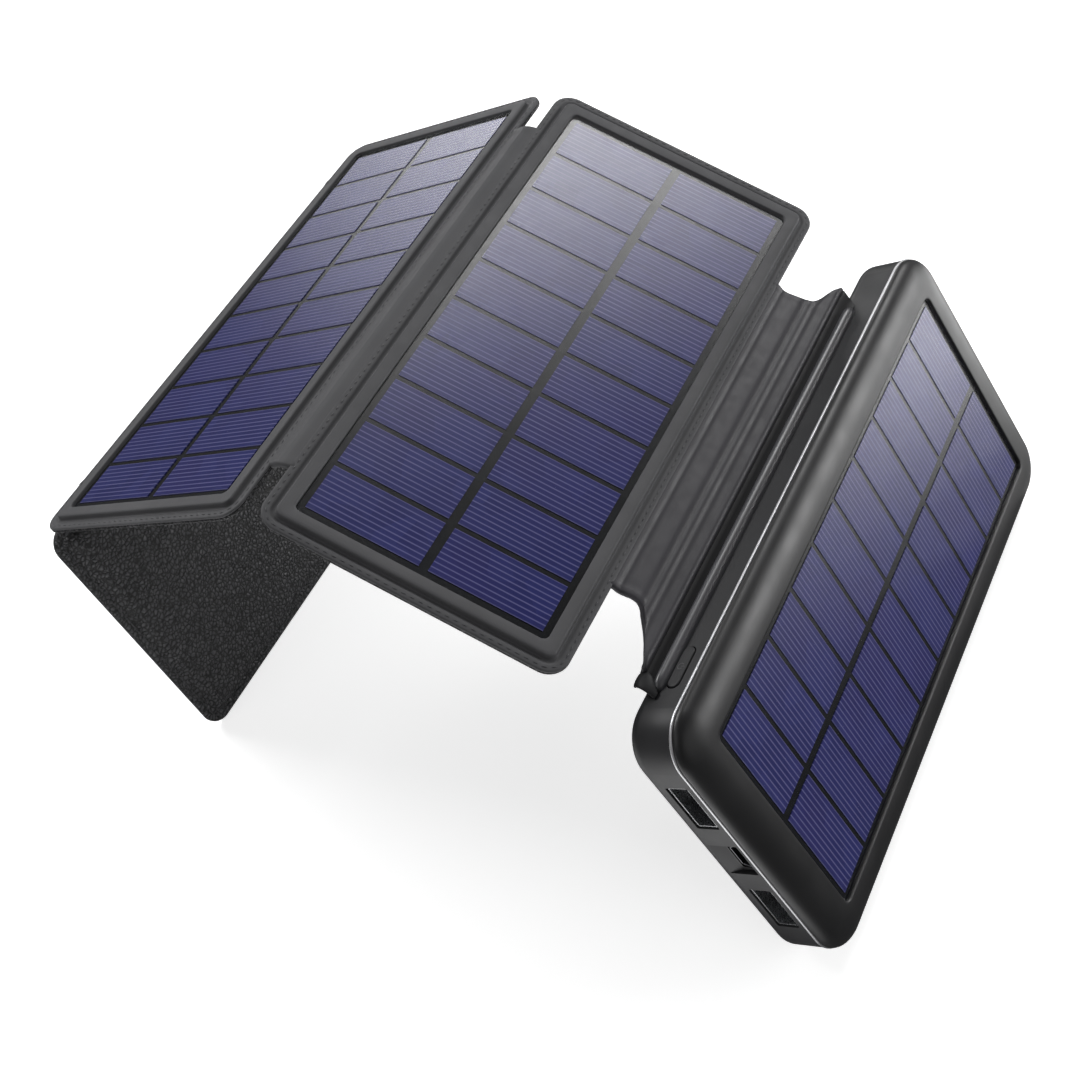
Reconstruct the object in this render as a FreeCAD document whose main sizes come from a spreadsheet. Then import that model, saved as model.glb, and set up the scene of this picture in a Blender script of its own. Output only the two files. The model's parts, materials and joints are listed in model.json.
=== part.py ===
"""Folding solar power bank with four hinged solar panels.

A flat power bank carries one solar panel in its own lid. Three more panels, bound in
leather, hang from its long side on leather strips. Every strip folds along both of its
edges, so the four panels can stand as a tent, lie flat, or close into one pack.

Each piece is drawn in the frame of the group it belongs to (the bank, a strip or a
panel), with x across the group, y along it and z out of its solar side, and is then
placed with its group. The open model stands on two lines: the rounded rear edge of the
bank and the free edge of the third panel. The ports of the bank face -Y.
"""
import FreeCAD
import Part
import math
import os
import Sketcher

Vector = FreeCAD.Vector

# ---------------------------------------------------------------- driving dimensions
DIMENSIONS = {
    # leather bound panels
    "panel_length": 148.0,
    "panel_width": 70.6,
    "panel_corner": 5.0,
    "lining_thick": 0.7,
    "leather_thick": 0.9,
    "flange_width": 2.0,
    "groove_width": 1.0,
    "groove_depth": 0.3,
    "bezel_height": 1.0,
    "bezel_round": 0.4,
    "back_depth": 2.8,
    "back_inset": 2.6,
    "back_round": 1.1,
    "relief_depth": 0.9,
    "relief_play": 0.4,
    # solar laminate, the same in all four panels
    "window_width": 58.4,
    "window_length": 135.4,
    "window_corner": 1.5,
    "window_play": 0.1,
    "board_thick": 0.8,
    "cell_thick": 0.2,
    "sheet_thick": 0.3,
    "resin_gap": 0.03,
    "sheet_recess": 0.4,
    "cell_width": 26.4,
    "cell_length": 11.95,
    "cell_gap_x": 2.2,
    "cell_pitch_y": 13.33,
    "cell_columns": 2,
    "cell_rows": 10,
    # leather hinge strips
    "strip_half": 0.6,
    "strip_setback": 0.8,
    "spine_chord": 15.0,
    "spine_end_bank": 59.0,
    "spine_end_panel": 48.5,
    "spine_arch": 2.0,
    "spine_arch_half": 4.0,
    "inner_chord": 5.1,
    "outer_chord": 4.6,
    "narrow_end": 59.0,
    "ribbon_width": 6.0,
    "ribbon_thick": 0.2,
    # power bank
    "bank_width": 77.4,
    "bank_length": 155.0,
    "bank_depth": 16.2,
    "bank_corner": 9.5,
    "shoulder_width": 7.6,
    "shoulder_drop": 3.3,
    "shoulder_blend": 3.2,
    "shoulder_edge": 0.7,
    "rear_round": 3.4,
    "wall": 2.0,
    "floor": 1.8,
    "trim_top": 3.9,
    "trim_thick": 0.9,
    "trim_proud": 0.15,
    "ledge_width": 2.0,
    "lid_pocket_depth": 1.0,
    # hinge of the bank
    "pivot_out": 2.6,
    "pivot_level": 14.0,
    "bar_length": 118.6,
    "bar_shift": -4.8,
    "bar_width": 2.6,
    "bar_thick": 2.2,
    "bar_level": 11.4,
    "bar_round": 0.9,
    "tab_thick": 0.9,
    "tab_end": 59.0,
    "tab_top": 10.7,
    # ports in the -Y end
    "port_level": 8.9,
    "usb_spread": 17.8,
    "usb_width": 13.2,
    "usb_height": 5.3,
    "usb_depth": 14.0,
    "usb_wall": 0.35,
    "usb_recess": 0.4,
    "usb_opening_play": 0.25,
    "usb_opening_round": 0.5,
    "tongue_width": 11.1,
    "tongue_thick": 1.8,
    "tongue_depth": 9.0,
    "tongue_drop": 0.7,
    "micro_width": 7.5,
    "micro_height": 2.9,
    "micro_depth": 5.6,
    "micro_wall": 0.25,
    "micro_recess": 1.2,
    "micro_level": 7.6,
    "micro_tongue": 0.6,
    "micro_pocket_width": 10.0,
    "micro_pocket_half": 2.1,
    "micro_pocket_depth": 1.1,
    "micro_scoop_reach": 3.3,
    # power button in the -X side
    "button_length": 10.8,
    "button_width": 3.0,
    "button_play": 0.2,
    "button_proud": 0.35,
    "button_y": -57.4,
    "button_level": 8.4,
    "button_flange": 0.7,
    "button_foot": 0.8,
    "button_foot_gap": 0.1,
    # inside the bank
    "pcb_width": 70.0,
    "pcb_length": 22.0,
    "pcb_thick": 1.6,
    "pcb_corner": 6.0,
    "pcb_centre_y": -64.0,
    "screw_x": 27.0,
    "screw_y": -57.0,
    "screw_head": 2.2,
    "screw_head_thick": 1.2,
    "screw_shank": 1.0,
    "post_radius": 2.6,
    "cell_pack_width": 68.0,
    "cell_pack_length": 61.0,
    "cell_pack_thick": 10.2,
    "cell_pack_round": 2.0,
    "cell_pack_centre_y": 11.5,
    "cell_pack_gap": 1.0,
    "lead_radius": 0.7,
    "lead_bend": 3.5,
    "lead_x": 8.0,
    "switch_length": 6.0,
    "switch_width": 3.6,
    "switch_height": 3.5,
    "switch_plunger": 0.65,
    # fold of each strip edge in the open stance, in degrees
    "fold_bank_spine": 30.0,
    "fold_spine_first": 12.0,
    "fold_first_narrow": 36.0,
    "fold_narrow_second": 9.2,
    "fold_second_narrow": 50.0,
    "fold_narrow_third": 36.2,
}

doc = FreeCAD.newDocument("folding_solar_bank")
sheet = doc.addObject("Spreadsheet::Sheet", "Dimensions")
for row, (alias, number) in enumerate(DIMENSIONS.items(), start=1):
    sheet.set("A%d" % row, alias)
    sheet.set("B%d" % row, str(number))
    sheet.setAlias("B%d" % row, alias)
doc.recompute()


def size(alias):
    """The value of one driving dimension."""
    return float(sheet.get(alias))


def formula(text):
    """An expression for the sheet: every bare alias gets the sheet's name."""
    words = text.replace("(", " ( ").replace(")", " ) ").split()
    return " ".join("Dimensions." + word if word in DIMENSIONS else word for word in words)


def value(text):
    """The number that an expression has now."""
    return float(sheet.evalExpression(formula(text)))


# ---------------------------------------------------------------- drawing helpers
SUBPARTS = {}


def register(node, feature, group):
    """Keep one finished piece, with its label and the group that it moves with."""
    feature.Label = node
    SUBPARTS[node] = (feature, group)
    return feature


def new_body(name):
    """An empty body that may hold several separate solids."""
    body = doc.addObject("PartDesign::Body", name)
    body.AllowCompound = True
    return body


def origin_plane(body, role):
    """One of the body's own origin planes."""
    for feature in body.Origin.OriginFeatures:
        if feature.Role == role:
            return feature
    raise ValueError("no origin plane " + role)


def new_sketch(body, name, role, across="0", along="0", level="0"):
    """A sketch on an origin plane, shifted in the plane and lifted off it."""
    sketch = body.newObject("Sketcher::SketchObject", name)
    sketch.AttachmentSupport = (origin_plane(body, role), [""])
    sketch.MapMode = "FlatFace"
    sketch.setExpression("AttachmentOffset.Base.x", formula(across))
    sketch.setExpression("AttachmentOffset.Base.y", formula(along))
    sketch.setExpression("AttachmentOffset.Base.z", formula(level))
    return sketch


def bind(sketch, constraint, name, text):
    """Name one constraint and tie it to an expression of the sheet."""
    sketch.renameConstraint(constraint, name)
    sketch.setExpression("Constraints." + name, formula(text))


def draw_rectangle(sketch, width, length, radius, tag=""):
    """A rounded rectangle centred on the sketch's origin."""
    half_w = value(width) / 2
    half_l = value(length) / 2
    corner = value(radius)
    x_in = half_w - corner
    y_in = half_l - corner
    first = sketch.GeometryCount
    sides = [
        (Vector(-x_in, -half_l, 0), Vector(x_in, -half_l, 0)),
        (Vector(half_w, -y_in, 0), Vector(half_w, y_in, 0)),
        (Vector(x_in, half_l, 0), Vector(-x_in, half_l, 0)),
        (Vector(-half_w, y_in, 0), Vector(-half_w, -y_in, 0)),
    ]
    for start, end in sides:
        sketch.addGeometry(Part.LineSegment(start, end), False)
    centres = [(x_in, -y_in), (x_in, y_in), (-x_in, y_in), (-x_in, -y_in)]
    for turn, (x, y) in enumerate(centres):
        circle = Part.Circle(Vector(x, y, 0), Vector(0, 0, 1), corner)
        start_angle = -math.pi / 2 + turn * math.pi / 2
        arc = Part.ArcOfCircle(circle, start_angle, start_angle + math.pi / 2)
        sketch.addGeometry(arc, False)
    for turn in range(4):
        line = first + turn
        arc = first + 4 + turn
        following = first + (turn + 1) % 4
        sketch.addConstraint(Sketcher.Constraint("Tangent", line, 2, arc, 1))
        sketch.addConstraint(Sketcher.Constraint("Tangent", arc, 2, following, 1))
        kind = "Horizontal" if turn % 2 == 0 else "Vertical"
        sketch.addConstraint(Sketcher.Constraint(kind, line))
    for turn in range(1, 4):
        sketch.addConstraint(Sketcher.Constraint("Equal", first + 4, first + 4 + turn))
    sketch.addConstraint(Sketcher.Constraint("Symmetric", first + 5, 3, first + 7, 3, -1, 1))
    wide = sketch.addConstraint(Sketcher.Constraint("DistanceX", first + 3, 1, first + 1, 1, 2 * half_w))
    long = sketch.addConstraint(Sketcher.Constraint("DistanceY", first, 1, first + 2, 1, 2 * half_l))
    bend = sketch.addConstraint(Sketcher.Constraint("Radius", first + 4, corner))
    bind(sketch, wide, "width" + tag, width)
    bind(sketch, long, "length" + tag, length)
    bind(sketch, bend, "corner" + tag, radius)


def draw_circle(sketch, radius):
    """A circle centred on the sketch's origin."""
    circle = Part.Circle(Vector(0, 0, 0), Vector(0, 0, 1), value(radius))
    index = sketch.addGeometry(circle, False)
    sketch.addConstraint(Sketcher.Constraint("Coincident", index, 3, -1, 1))
    bend = sketch.addConstraint(Sketcher.Constraint("Radius", index, value(radius)))
    bind(sketch, bend, "radius", radius)


def draw_polygon(sketch, corners):
    """A closed outline of straight edges, each corner tied to two expressions."""
    points = [Vector(value(x), value(y), 0) for x, y in corners]
    count = len(points)
    for index in range(count):
        line = Part.LineSegment(points[index], points[(index + 1) % count])
        sketch.addGeometry(line, False)
    for index in range(count):
        following = (index + 1) % count
        sketch.addConstraint(Sketcher.Constraint("Coincident", index, 2, following, 1))
    for index, (x, y) in enumerate(corners):
        for kind, text in (("DistanceX", x), ("DistanceY", y)):
            constraint = Sketcher.Constraint(kind, -1, 1, index, 1, value(text))
            number = sketch.addConstraint(constraint)
            bind(sketch, number, "%s%d" % (kind[-1].lower(), index), text)


def pad(body, sketch, height, both_ways=False):
    """Raise a sketch into a solid."""
    feature = body.newObject("PartDesign::Pad", sketch.Name + "_pad")
    feature.Profile = sketch
    feature.Midplane = both_ways
    feature.setExpression("Length", formula(height))
    sketch.Visibility = False
    doc.recompute()
    return feature


def pocket(body, sketch, depth, both_ways=False, upward=False):
    """Cut a sketch into the body, and make sure that it removed material."""
    before = body.Shape.Volume
    feature = body.newObject("PartDesign::Pocket", sketch.Name + "_cut")
    feature.Profile = sketch
    feature.Midplane = both_ways
    feature.Reversed = upward
    feature.setExpression("Length", formula(depth))
    doc.recompute()
    if body.Shape.Volume > before - 1e-6:
        raise ValueError("nothing was cut by " + sketch.Name)
    return feature


def outline_pad(body, name, width, length, radius, level, height):
    """A plate with a rounded rectangular outline, from level upwards."""
    sketch = new_sketch(body, name, "XY_Plane", level=level)
    draw_rectangle(sketch, width, length, radius)
    return pad(body, sketch, height)


def outline_pocket(body, name, width, length, radius, level, depth, across="0", along="0"):
    """A recess with a rounded rectangular outline, from level downwards."""
    sketch = new_sketch(body, name, "XY_Plane", across, along, level)
    draw_rectangle(sketch, width, length, radius)
    return pocket(body, sketch, depth)


def edges_where(shape, test):
    """Names of the edges whose bounding box passes a test."""
    return ["Edge%d" % (index + 1) for index, edge in enumerate(shape.Edges) if test(edge.BoundBox)]


def round_edges(body, base, radius, test):
    """Fillet the edges of the last feature that pass a test."""
    feature = body.newObject("PartDesign::Fillet", base.Name + "_fillet")
    feature.Base = (base, edges_where(base.Shape, test))
    feature.setExpression("Radius", formula(radius))
    doc.recompute()
    return feature


def at_level(height, tolerance=1e-4):
    """A test for flat edges that lie at one height."""
    return lambda box: abs(box.ZMin - height) < tolerance and abs(box.ZMax - height) < tolerance


def at_side(across, tolerance=1e-4):
    """A test for edges that lie in one plane across the group."""
    return lambda box: abs(box.XMin - across) < tolerance and abs(box.XMax - across) < tolerance


def box(name, length, width, height, x, y, z):
    """A rectangular block from its lowest corner, all sizes as expressions."""
    block = doc.addObject("Part::Box", name)
    for prop, text in (("Length", length), ("Width", width), ("Height", height)):
        block.setExpression(prop, formula(text))
    for prop, text in (("x", x), ("y", y), ("z", z)):
        block.setExpression("Placement.Base." + prop, formula(text))
    return block


def cut(name, base, tool):
    """One solid less another."""
    feature = doc.addObject("Part::Cut", name)
    feature.Base = base
    feature.Tool = tool
    return feature


# ---------------------------------------------------------------- solar laminate
def make_laminate(prefix, group, sheet_top):
    """Backing board, solar cells and clear cover sheet under a window."""
    board = new_body(prefix + "_solar_board")
    width = "window_width - 2 * window_play"
    length = "window_length - 2 * window_play"
    board_level = "(" + sheet_top + ") - sheet_thick - cell_thick - board_thick"
    outline_pad(board, prefix + "_board_outline", width, length, "window_corner", board_level, "board_thick")
    register(prefix + "_solar_board", board, group)

    cells = new_body(prefix + "_solar_cells")
    cell_level = "(" + sheet_top + ") - sheet_thick - cell_thick"
    sketch = new_sketch(
        cells,
        prefix + "_cell_outline",
        "XY_Plane",
        "0 - (cell_width + cell_gap_x) / 2",
        "0 - cell_pitch_y * (cell_rows - 1) / 2",
        cell_level,
    )
    draw_polygon(sketch, rectangle_corners("cell_width / 2", "cell_length / 2"))
    first_cell = pad(cells, sketch, "cell_thick")
    first_cell.Label = prefix + "_first_cell"
    grid = cells.newObject("PartDesign::MultiTransform", prefix + "_cell_grid")
    grid.Originals = [first_cell]
    patterns = []
    directions = (
        ("V_Axis", "cell_pitch_y", "cell_rows"),
        ("H_Axis", "cell_width + cell_gap_x", "cell_columns"),
    )
    for axis, pitch, count in directions:
        pattern = cells.newObject("PartDesign::LinearPattern", prefix + "_" + axis)
        pattern.Direction = (sketch, [axis])
        pattern.setExpression("Length", formula("(" + pitch + ") * (" + count + " - 1)"))
        pattern.setExpression("Occurrences", formula(count))
        patterns.append(pattern)
    grid.Transformations = patterns
    cells.Tip = grid
    register(prefix + "_solar_cells", cells, group)

    cover = new_body(prefix + "_cover_sheet")
    cover_level = "(" + sheet_top + ") - sheet_thick + resin_gap"
    thick = "sheet_thick - resin_gap"
    outline_pad(cover, prefix + "_sheet_outline", width, length, "window_corner", cover_level, thick)
    register(prefix + "_cover_sheet", cover, group)


def rectangle_corners(half_width, half_length):
    """The four corners of a sharp rectangle about the sketch's origin."""
    left = "0 - " + half_width
    low = "0 - " + half_length
    return [(left, low), (half_width, low), (half_width, half_length), (left, half_length)]


# ---------------------------------------------------------------- leather panels
def relieve_hinge_edge(body, name, side, low, high):
    """Cut the leather back along a hinge line, so that the strip can turn about it."""
    sign = "" if side > 0 else "0 - "
    sketch = new_sketch(body, name, "XY_Plane", sign + "panel_width / 2", "0", high)
    draw_polygon(sketch, rectangle_corners("relief_depth", "(narrow_end + relief_play)"))
    pocket(body, sketch, "(" + high + ") - (" + low + ")")


def make_panel(name, group, hinge_sides):
    """One leather bound panel: back cover, stiffener, front lining and laminate."""
    back = new_body(name + "_back_cover")
    outline_pad(
        back,
        name + "_back_edge",
        "panel_width",
        "panel_length",
        "panel_corner",
        "0 - lining_thick - leather_thick",
        "leather_thick",
    )
    cushion = outline_pad(
        back,
        name + "_back_cushion",
        "panel_width - 2 * back_inset",
        "panel_length - 2 * back_inset",
        "panel_corner - back_inset / 2",
        "0 - back_depth",
        "back_depth - lining_thick",
    )
    round_edges(back, cushion, "back_round", at_level(-size("back_depth")))
    outline_pocket(
        back,
        name + "_stiffener_bed",
        "panel_width - 2 * (back_inset + leather_thick)",
        "panel_length - 2 * (back_inset + leather_thick)",
        "window_corner",
        "0 - lining_thick",
        "back_depth - leather_thick - lining_thick",
    )
    for side in hinge_sides:
        edge_name = "%s_back_relief_%s" % (name, "right" if side > 0 else "left")
        relieve_hinge_edge(back, edge_name, side, "0 - lining_thick - leather_thick", "0 - lining_thick")
    register(name + "_back_cover", back, group)

    stiffener = new_body(name + "_stiffener")
    outline_pad(
        stiffener,
        name + "_stiffener_outline",
        "panel_width - 2 * (back_inset + leather_thick + window_play)",
        "panel_length - 2 * (back_inset + leather_thick + window_play)",
        "window_corner",
        "leather_thick - back_depth",
        "back_depth - leather_thick - lining_thick",
    )
    register(name + "_stiffener", stiffener, group)

    lining = new_body(name + "_front_lining")
    outline_pad(
        lining,
        name + "_lining_outline",
        "panel_width",
        "panel_length",
        "panel_corner",
        "0 - lining_thick",
        "lining_thick",
    )
    bezel_in = "(flange_width + groove_width)"
    bezel = outline_pad(
        lining,
        name + "_bezel_outline",
        "panel_width - 2 * " + bezel_in,
        "panel_length - 2 * " + bezel_in,
        "panel_corner - flange_width / 2",
        "0",
        "bezel_height",
    )
    round_edges(lining, bezel, "bezel_round", at_level(size("bezel_height")))
    groove = new_sketch(lining, name + "_groove", "XY_Plane")
    draw_rectangle(
        groove,
        "panel_width - 2 * flange_width",
        "panel_length - 2 * flange_width",
        "panel_corner - flange_width / 2",
        "_outer",
    )
    draw_rectangle(
        groove,
        "panel_width - 2 * " + bezel_in,
        "panel_length - 2 * " + bezel_in,
        "panel_corner - flange_width / 2",
        "_inner",
    )
    pocket(lining, groove, "groove_depth")
    outline_pocket(
        lining,
        name + "_window",
        "window_width",
        "window_length",
        "window_corner",
        "bezel_height",
        "bezel_height + lining_thick",
    )
    for side in hinge_sides:
        edge_name = "%s_lining_relief_%s" % (name, "right" if side > 0 else "left")
        relieve_hinge_edge(lining, edge_name, side, "0 - lining_thick", "0")
    register(name + "_front_lining", lining, group)

    make_laminate(name, group, "bezel_height - sheet_recess")


# ---------------------------------------------------------------- hinge strips
def strip_profile(reach, low, high, arched):
    """Section of one layer of a strip between two levels; the spine's is arched."""
    left = "0 - " + reach
    lower = [(left, low), (reach, low)]
    upper = [(reach, high), (left, high)]
    if arched:
        raised_low = low + " + spine_arch"
        raised_high = high + " + spine_arch"
        lower[1:1] = [("0 - spine_arch_half", raised_low), ("spine_arch_half", raised_low)]
        upper[1:1] = [("spine_arch_half", raised_high), ("0 - spine_arch_half", raised_high)]
    return lower + upper


def strip_layer(node, group, profile, half_length):
    """One layer of a strip, drawn in section and drawn out along the fold lines."""
    body = new_body(node)
    sketch = new_sketch(body, node + "_section", "XZ_Plane")
    draw_polygon(sketch, profile)
    pad(body, sketch, "2 * " + half_length, both_ways=True)
    register(node, body, group)
    return body


def narrow_spine_ends(body):
    """Curve both ends of the spine in towards the panel, where it is shorter."""
    far = "(spine_end_bank + 1)"
    for side, sign in (("far", ""), ("near", "0 - ")):
        sketch = new_sketch(body, body.Name + "_end_" + side, "XY_Plane", level="2 * spine_arch")
        corners = [
            ("0 - spine_chord / 2", sign + "spine_end_panel"),
            ("0 - spine_chord / 10", sign + "spine_end_panel"),
            ("spine_chord * 0.11", sign + "(spine_end_panel + 3)"),
            ("spine_chord * 0.23", sign + "(spine_end_panel + 7)"),
            ("spine_chord * 0.33", sign + far),
            ("0 - spine_chord / 2", sign + far),
        ]
        draw_polygon(sketch, corners)
        pocket(body, sketch, "4 * spine_arch")


def make_strip(name, group, chord, half_length, arched=False):
    """A leather strip between two panels: outer leather, lining, and the flat conductor.

    The strip's frame lies midway between its two fold lines, x towards the bank.
    """
    reach = "(" + chord + " / 2 - strip_setback)"
    leather = strip_layer(
        name + "_leather", group, strip_profile(reach, "0 - strip_half", "0", arched), half_length
    )
    upper = strip_profile(reach, "0", "strip_half", arched)
    lining = strip_layer(name + "_lining", group, upper, half_length)
    if arched:
        narrow_spine_ends(leather)
        narrow_spine_ends(lining)
    conductor = strip_profile(reach, "0", "ribbon_thick", arched)
    channel = new_sketch(lining, name + "_channel", "XZ_Plane")
    draw_polygon(channel, conductor)
    pocket(lining, channel, "ribbon_width", both_ways=True)
    strip_layer(name + "_ribbon", group, conductor, "ribbon_width / 2")


# ---------------------------------------------------------------- power bank
def make_front_shell():
    """Lid of the bank: a wide rounded shoulder round the solar window."""
    shell = new_body("front_shell")
    block = outline_pad(
        shell, "lid_outline", "bank_width", "bank_length", "bank_corner", "0 - trim_top", "trim_top"
    )
    shoulder = shell.newObject("PartDesign::Chamfer", "lid_shoulder")
    shoulder.Base = (block, edges_where(block.Shape, at_level(0)))
    shoulder.ChamferType = "Two distances"
    shoulder.FlipDirection = True
    shoulder.setExpression("Size", formula("shoulder_width"))
    shoulder.setExpression("Size2", formula("shoulder_drop"))
    doc.recompute()
    inset = size("bank_width") / 2 - size("shoulder_width")
    top_edge = shoulder.Shape.BoundBox.ZMax
    top_loop = [edge.BoundBox for edge in shoulder.Shape.Edges if at_level(top_edge)(edge.BoundBox)]
    if max(abs(box.XMax) for box in top_loop) > inset + 0.1:
        raise ValueError("the shoulder is turned the wrong way")
    rounded = round_edges(shell, shoulder, "shoulder_blend", at_level(0))
    drop = -size("shoulder_drop")
    round_edges(shell, rounded, "shoulder_edge", at_level(drop))
    outline_pocket(
        shell,
        "lid_window",
        "window_width",
        "window_length",
        "window_corner",
        "0",
        "sheet_recess + sheet_thick + cell_thick + board_thick",
    )
    outline_pocket(
        shell,
        "lid_opening",
        "window_width - 2 * ledge_width",
        "window_length - 2 * ledge_width",
        "window_corner",
        "0",
        "trim_top",
    )
    outline_pocket(
        shell,
        "lid_pocket",
        "bank_width - 4 * wall",
        "bank_length - 4 * wall",
        "bank_corner - 2 * wall",
        "lid_pocket_depth - trim_top",
        "lid_pocket_depth",
    )
    register("front_shell", shell, "bank")


def make_trim_ring():
    """Bright ring between the two shells."""
    ring = new_body("trim_ring")
    outline_pad(
        ring,
        "ring_outline",
        "bank_width + 2 * trim_proud",
        "bank_length + 2 * trim_proud",
        "bank_corner",
        "0 - trim_top - trim_thick",
        "trim_thick",
    )
    outline_pocket(
        ring,
        "ring_opening",
        "bank_width - 2 * wall",
        "bank_length - 2 * wall",
        "bank_corner - wall",
        "0 - trim_top",
        "trim_thick",
    )
    register("trim_ring", ring, "bank")


def make_rear_shell():
    """Case of the bank, with port openings, the button slot and two screw posts."""
    shell = new_body("rear_shell")
    seam = "(trim_top + trim_thick)"
    block = outline_pad(
        shell,
        "case_outline",
        "bank_width",
        "bank_length",
        "bank_corner",
        "0 - bank_depth",
        "bank_depth - " + seam,
    )
    round_edges(shell, block, "rear_round", at_level(-size("bank_depth")))
    outline_pocket(
        shell,
        "case_cavity",
        "bank_width - 2 * wall",
        "bank_length - 2 * wall",
        "bank_corner - wall",
        "0 - " + seam,
        "bank_depth - floor - " + seam,
    )
    opening = "(usb_width + 2 * usb_opening_play)"
    opening_high = "(usb_height + 2 * usb_opening_play)"
    for side, sign in (("left", "0 - "), ("right", "")):
        mouth = new_sketch(
            shell,
            "usb_opening_" + side,
            "XZ_Plane",
            sign + "usb_spread",
            "0 - port_level",
            "bank_length / 2",
        )
        draw_rectangle(mouth, opening, opening_high, "usb_opening_round")
        pocket(shell, mouth, "3 * wall", both_ways=True)
    mouth = new_sketch(shell, "micro_opening", "XZ_Plane", "0", "0 - micro_level", "bank_length / 2")
    draw_rectangle(
        mouth,
        "micro_width + 2 * usb_opening_play",
        "micro_height + 2 * usb_opening_play",
        "usb_opening_round",
    )
    pocket(shell, mouth, "3 * wall", both_ways=True)
    scoop = new_sketch(shell, "micro_scoop", "YZ_Plane", "0 - bank_length / 2", "0 - micro_level")
    scoop_corners = [
        ("0 - micro_pocket_depth", "0 - micro_pocket_half - micro_scoop_reach"),
        ("0", "0 - micro_pocket_half - micro_scoop_reach"),
        ("micro_pocket_depth", "0 - micro_pocket_half"),
        ("micro_pocket_depth", "micro_pocket_half"),
        ("0 - micro_pocket_depth", "micro_pocket_half"),
    ]
    draw_polygon(scoop, scoop_corners)
    pocket(shell, scoop, "micro_pocket_width", both_ways=True)
    slot = new_sketch(shell, "button_slot", "YZ_Plane", "button_y", "0 - button_level", "0 - bank_width / 2")
    slot_width = "(button_width + 2 * button_play)"
    draw_rectangle(slot, "button_length + 2 * button_play", slot_width, slot_width + " / 2.01")
    pocket(shell, slot, "3 * wall", both_ways=True)
    pcb_low = "(port_level + usb_height / 2 + pcb_thick)"
    for side, sign in (("left", "0 - "), ("right", "")):
        post = new_sketch(
            shell, "post_" + side, "XY_Plane", sign + "screw_x", "screw_y", "floor - bank_depth"
        )
        draw_circle(post, "post_radius")
        pad(shell, post, "bank_depth - floor - " + pcb_low)
        name = "post_hole_" + side
        hole = new_sketch(shell, name, "XY_Plane", sign + "screw_x", "screw_y", "0 - " + pcb_low)
        draw_circle(hole, "screw_shank")
        pocket(shell, hole, "bank_depth - floor - " + pcb_low)
    register("rear_shell", shell, "bank")


def make_hinge_fittings():
    """Glossy clamp bar on the side wall, and the leather tab that it holds."""
    bar = new_body("hinge_bar")
    outer_face = "0 - bank_width / 2 - bar_thick"
    sketch = new_sketch(bar, "bar_outline", "YZ_Plane", "bar_shift", "0 - bar_level", outer_face)
    draw_rectangle(sketch, "bar_length", "bar_width", "bar_width / 2.01")
    block = pad(bar, sketch, "bar_thick")
    round_edges(bar, block, "bar_round", at_side(value(outer_face)))
    bed = new_sketch(bar, "bar_bed", "YZ_Plane", "0", "0 - bar_level - bar_width / 2", "0 - bank_width / 2")
    draw_polygon(bed, rectangle_corners("tab_end", "(bar_level + bar_width / 2 - tab_top)"))
    pocket(bar, bed, "2 * tab_thick", both_ways=True)
    register("hinge_bar", bar, "bank")

    tab = new_body("spine_tab")
    profile = new_sketch(tab, "tab_profile", "XZ_Plane")
    wall_x = "0 - bank_width / 2"
    end_x = "relief_depth - bank_width / 2 - pivot_out"
    foot_high = "tab_thick / 2 - pivot_level"
    foot_low = "0 - tab_thick / 2 - pivot_level"
    corners = [
        (wall_x, "0 - tab_top"),
        (wall_x + " - tab_thick", "0 - tab_top"),
        (wall_x + " - tab_thick", foot_high),
        (end_x, foot_high),
        (end_x, foot_low),
        (wall_x, foot_low),
    ]
    draw_polygon(profile, corners)
    pad(tab, profile, "2 * tab_end", both_ways=True)
    register("spine_tab", tab, "bank")


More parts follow.
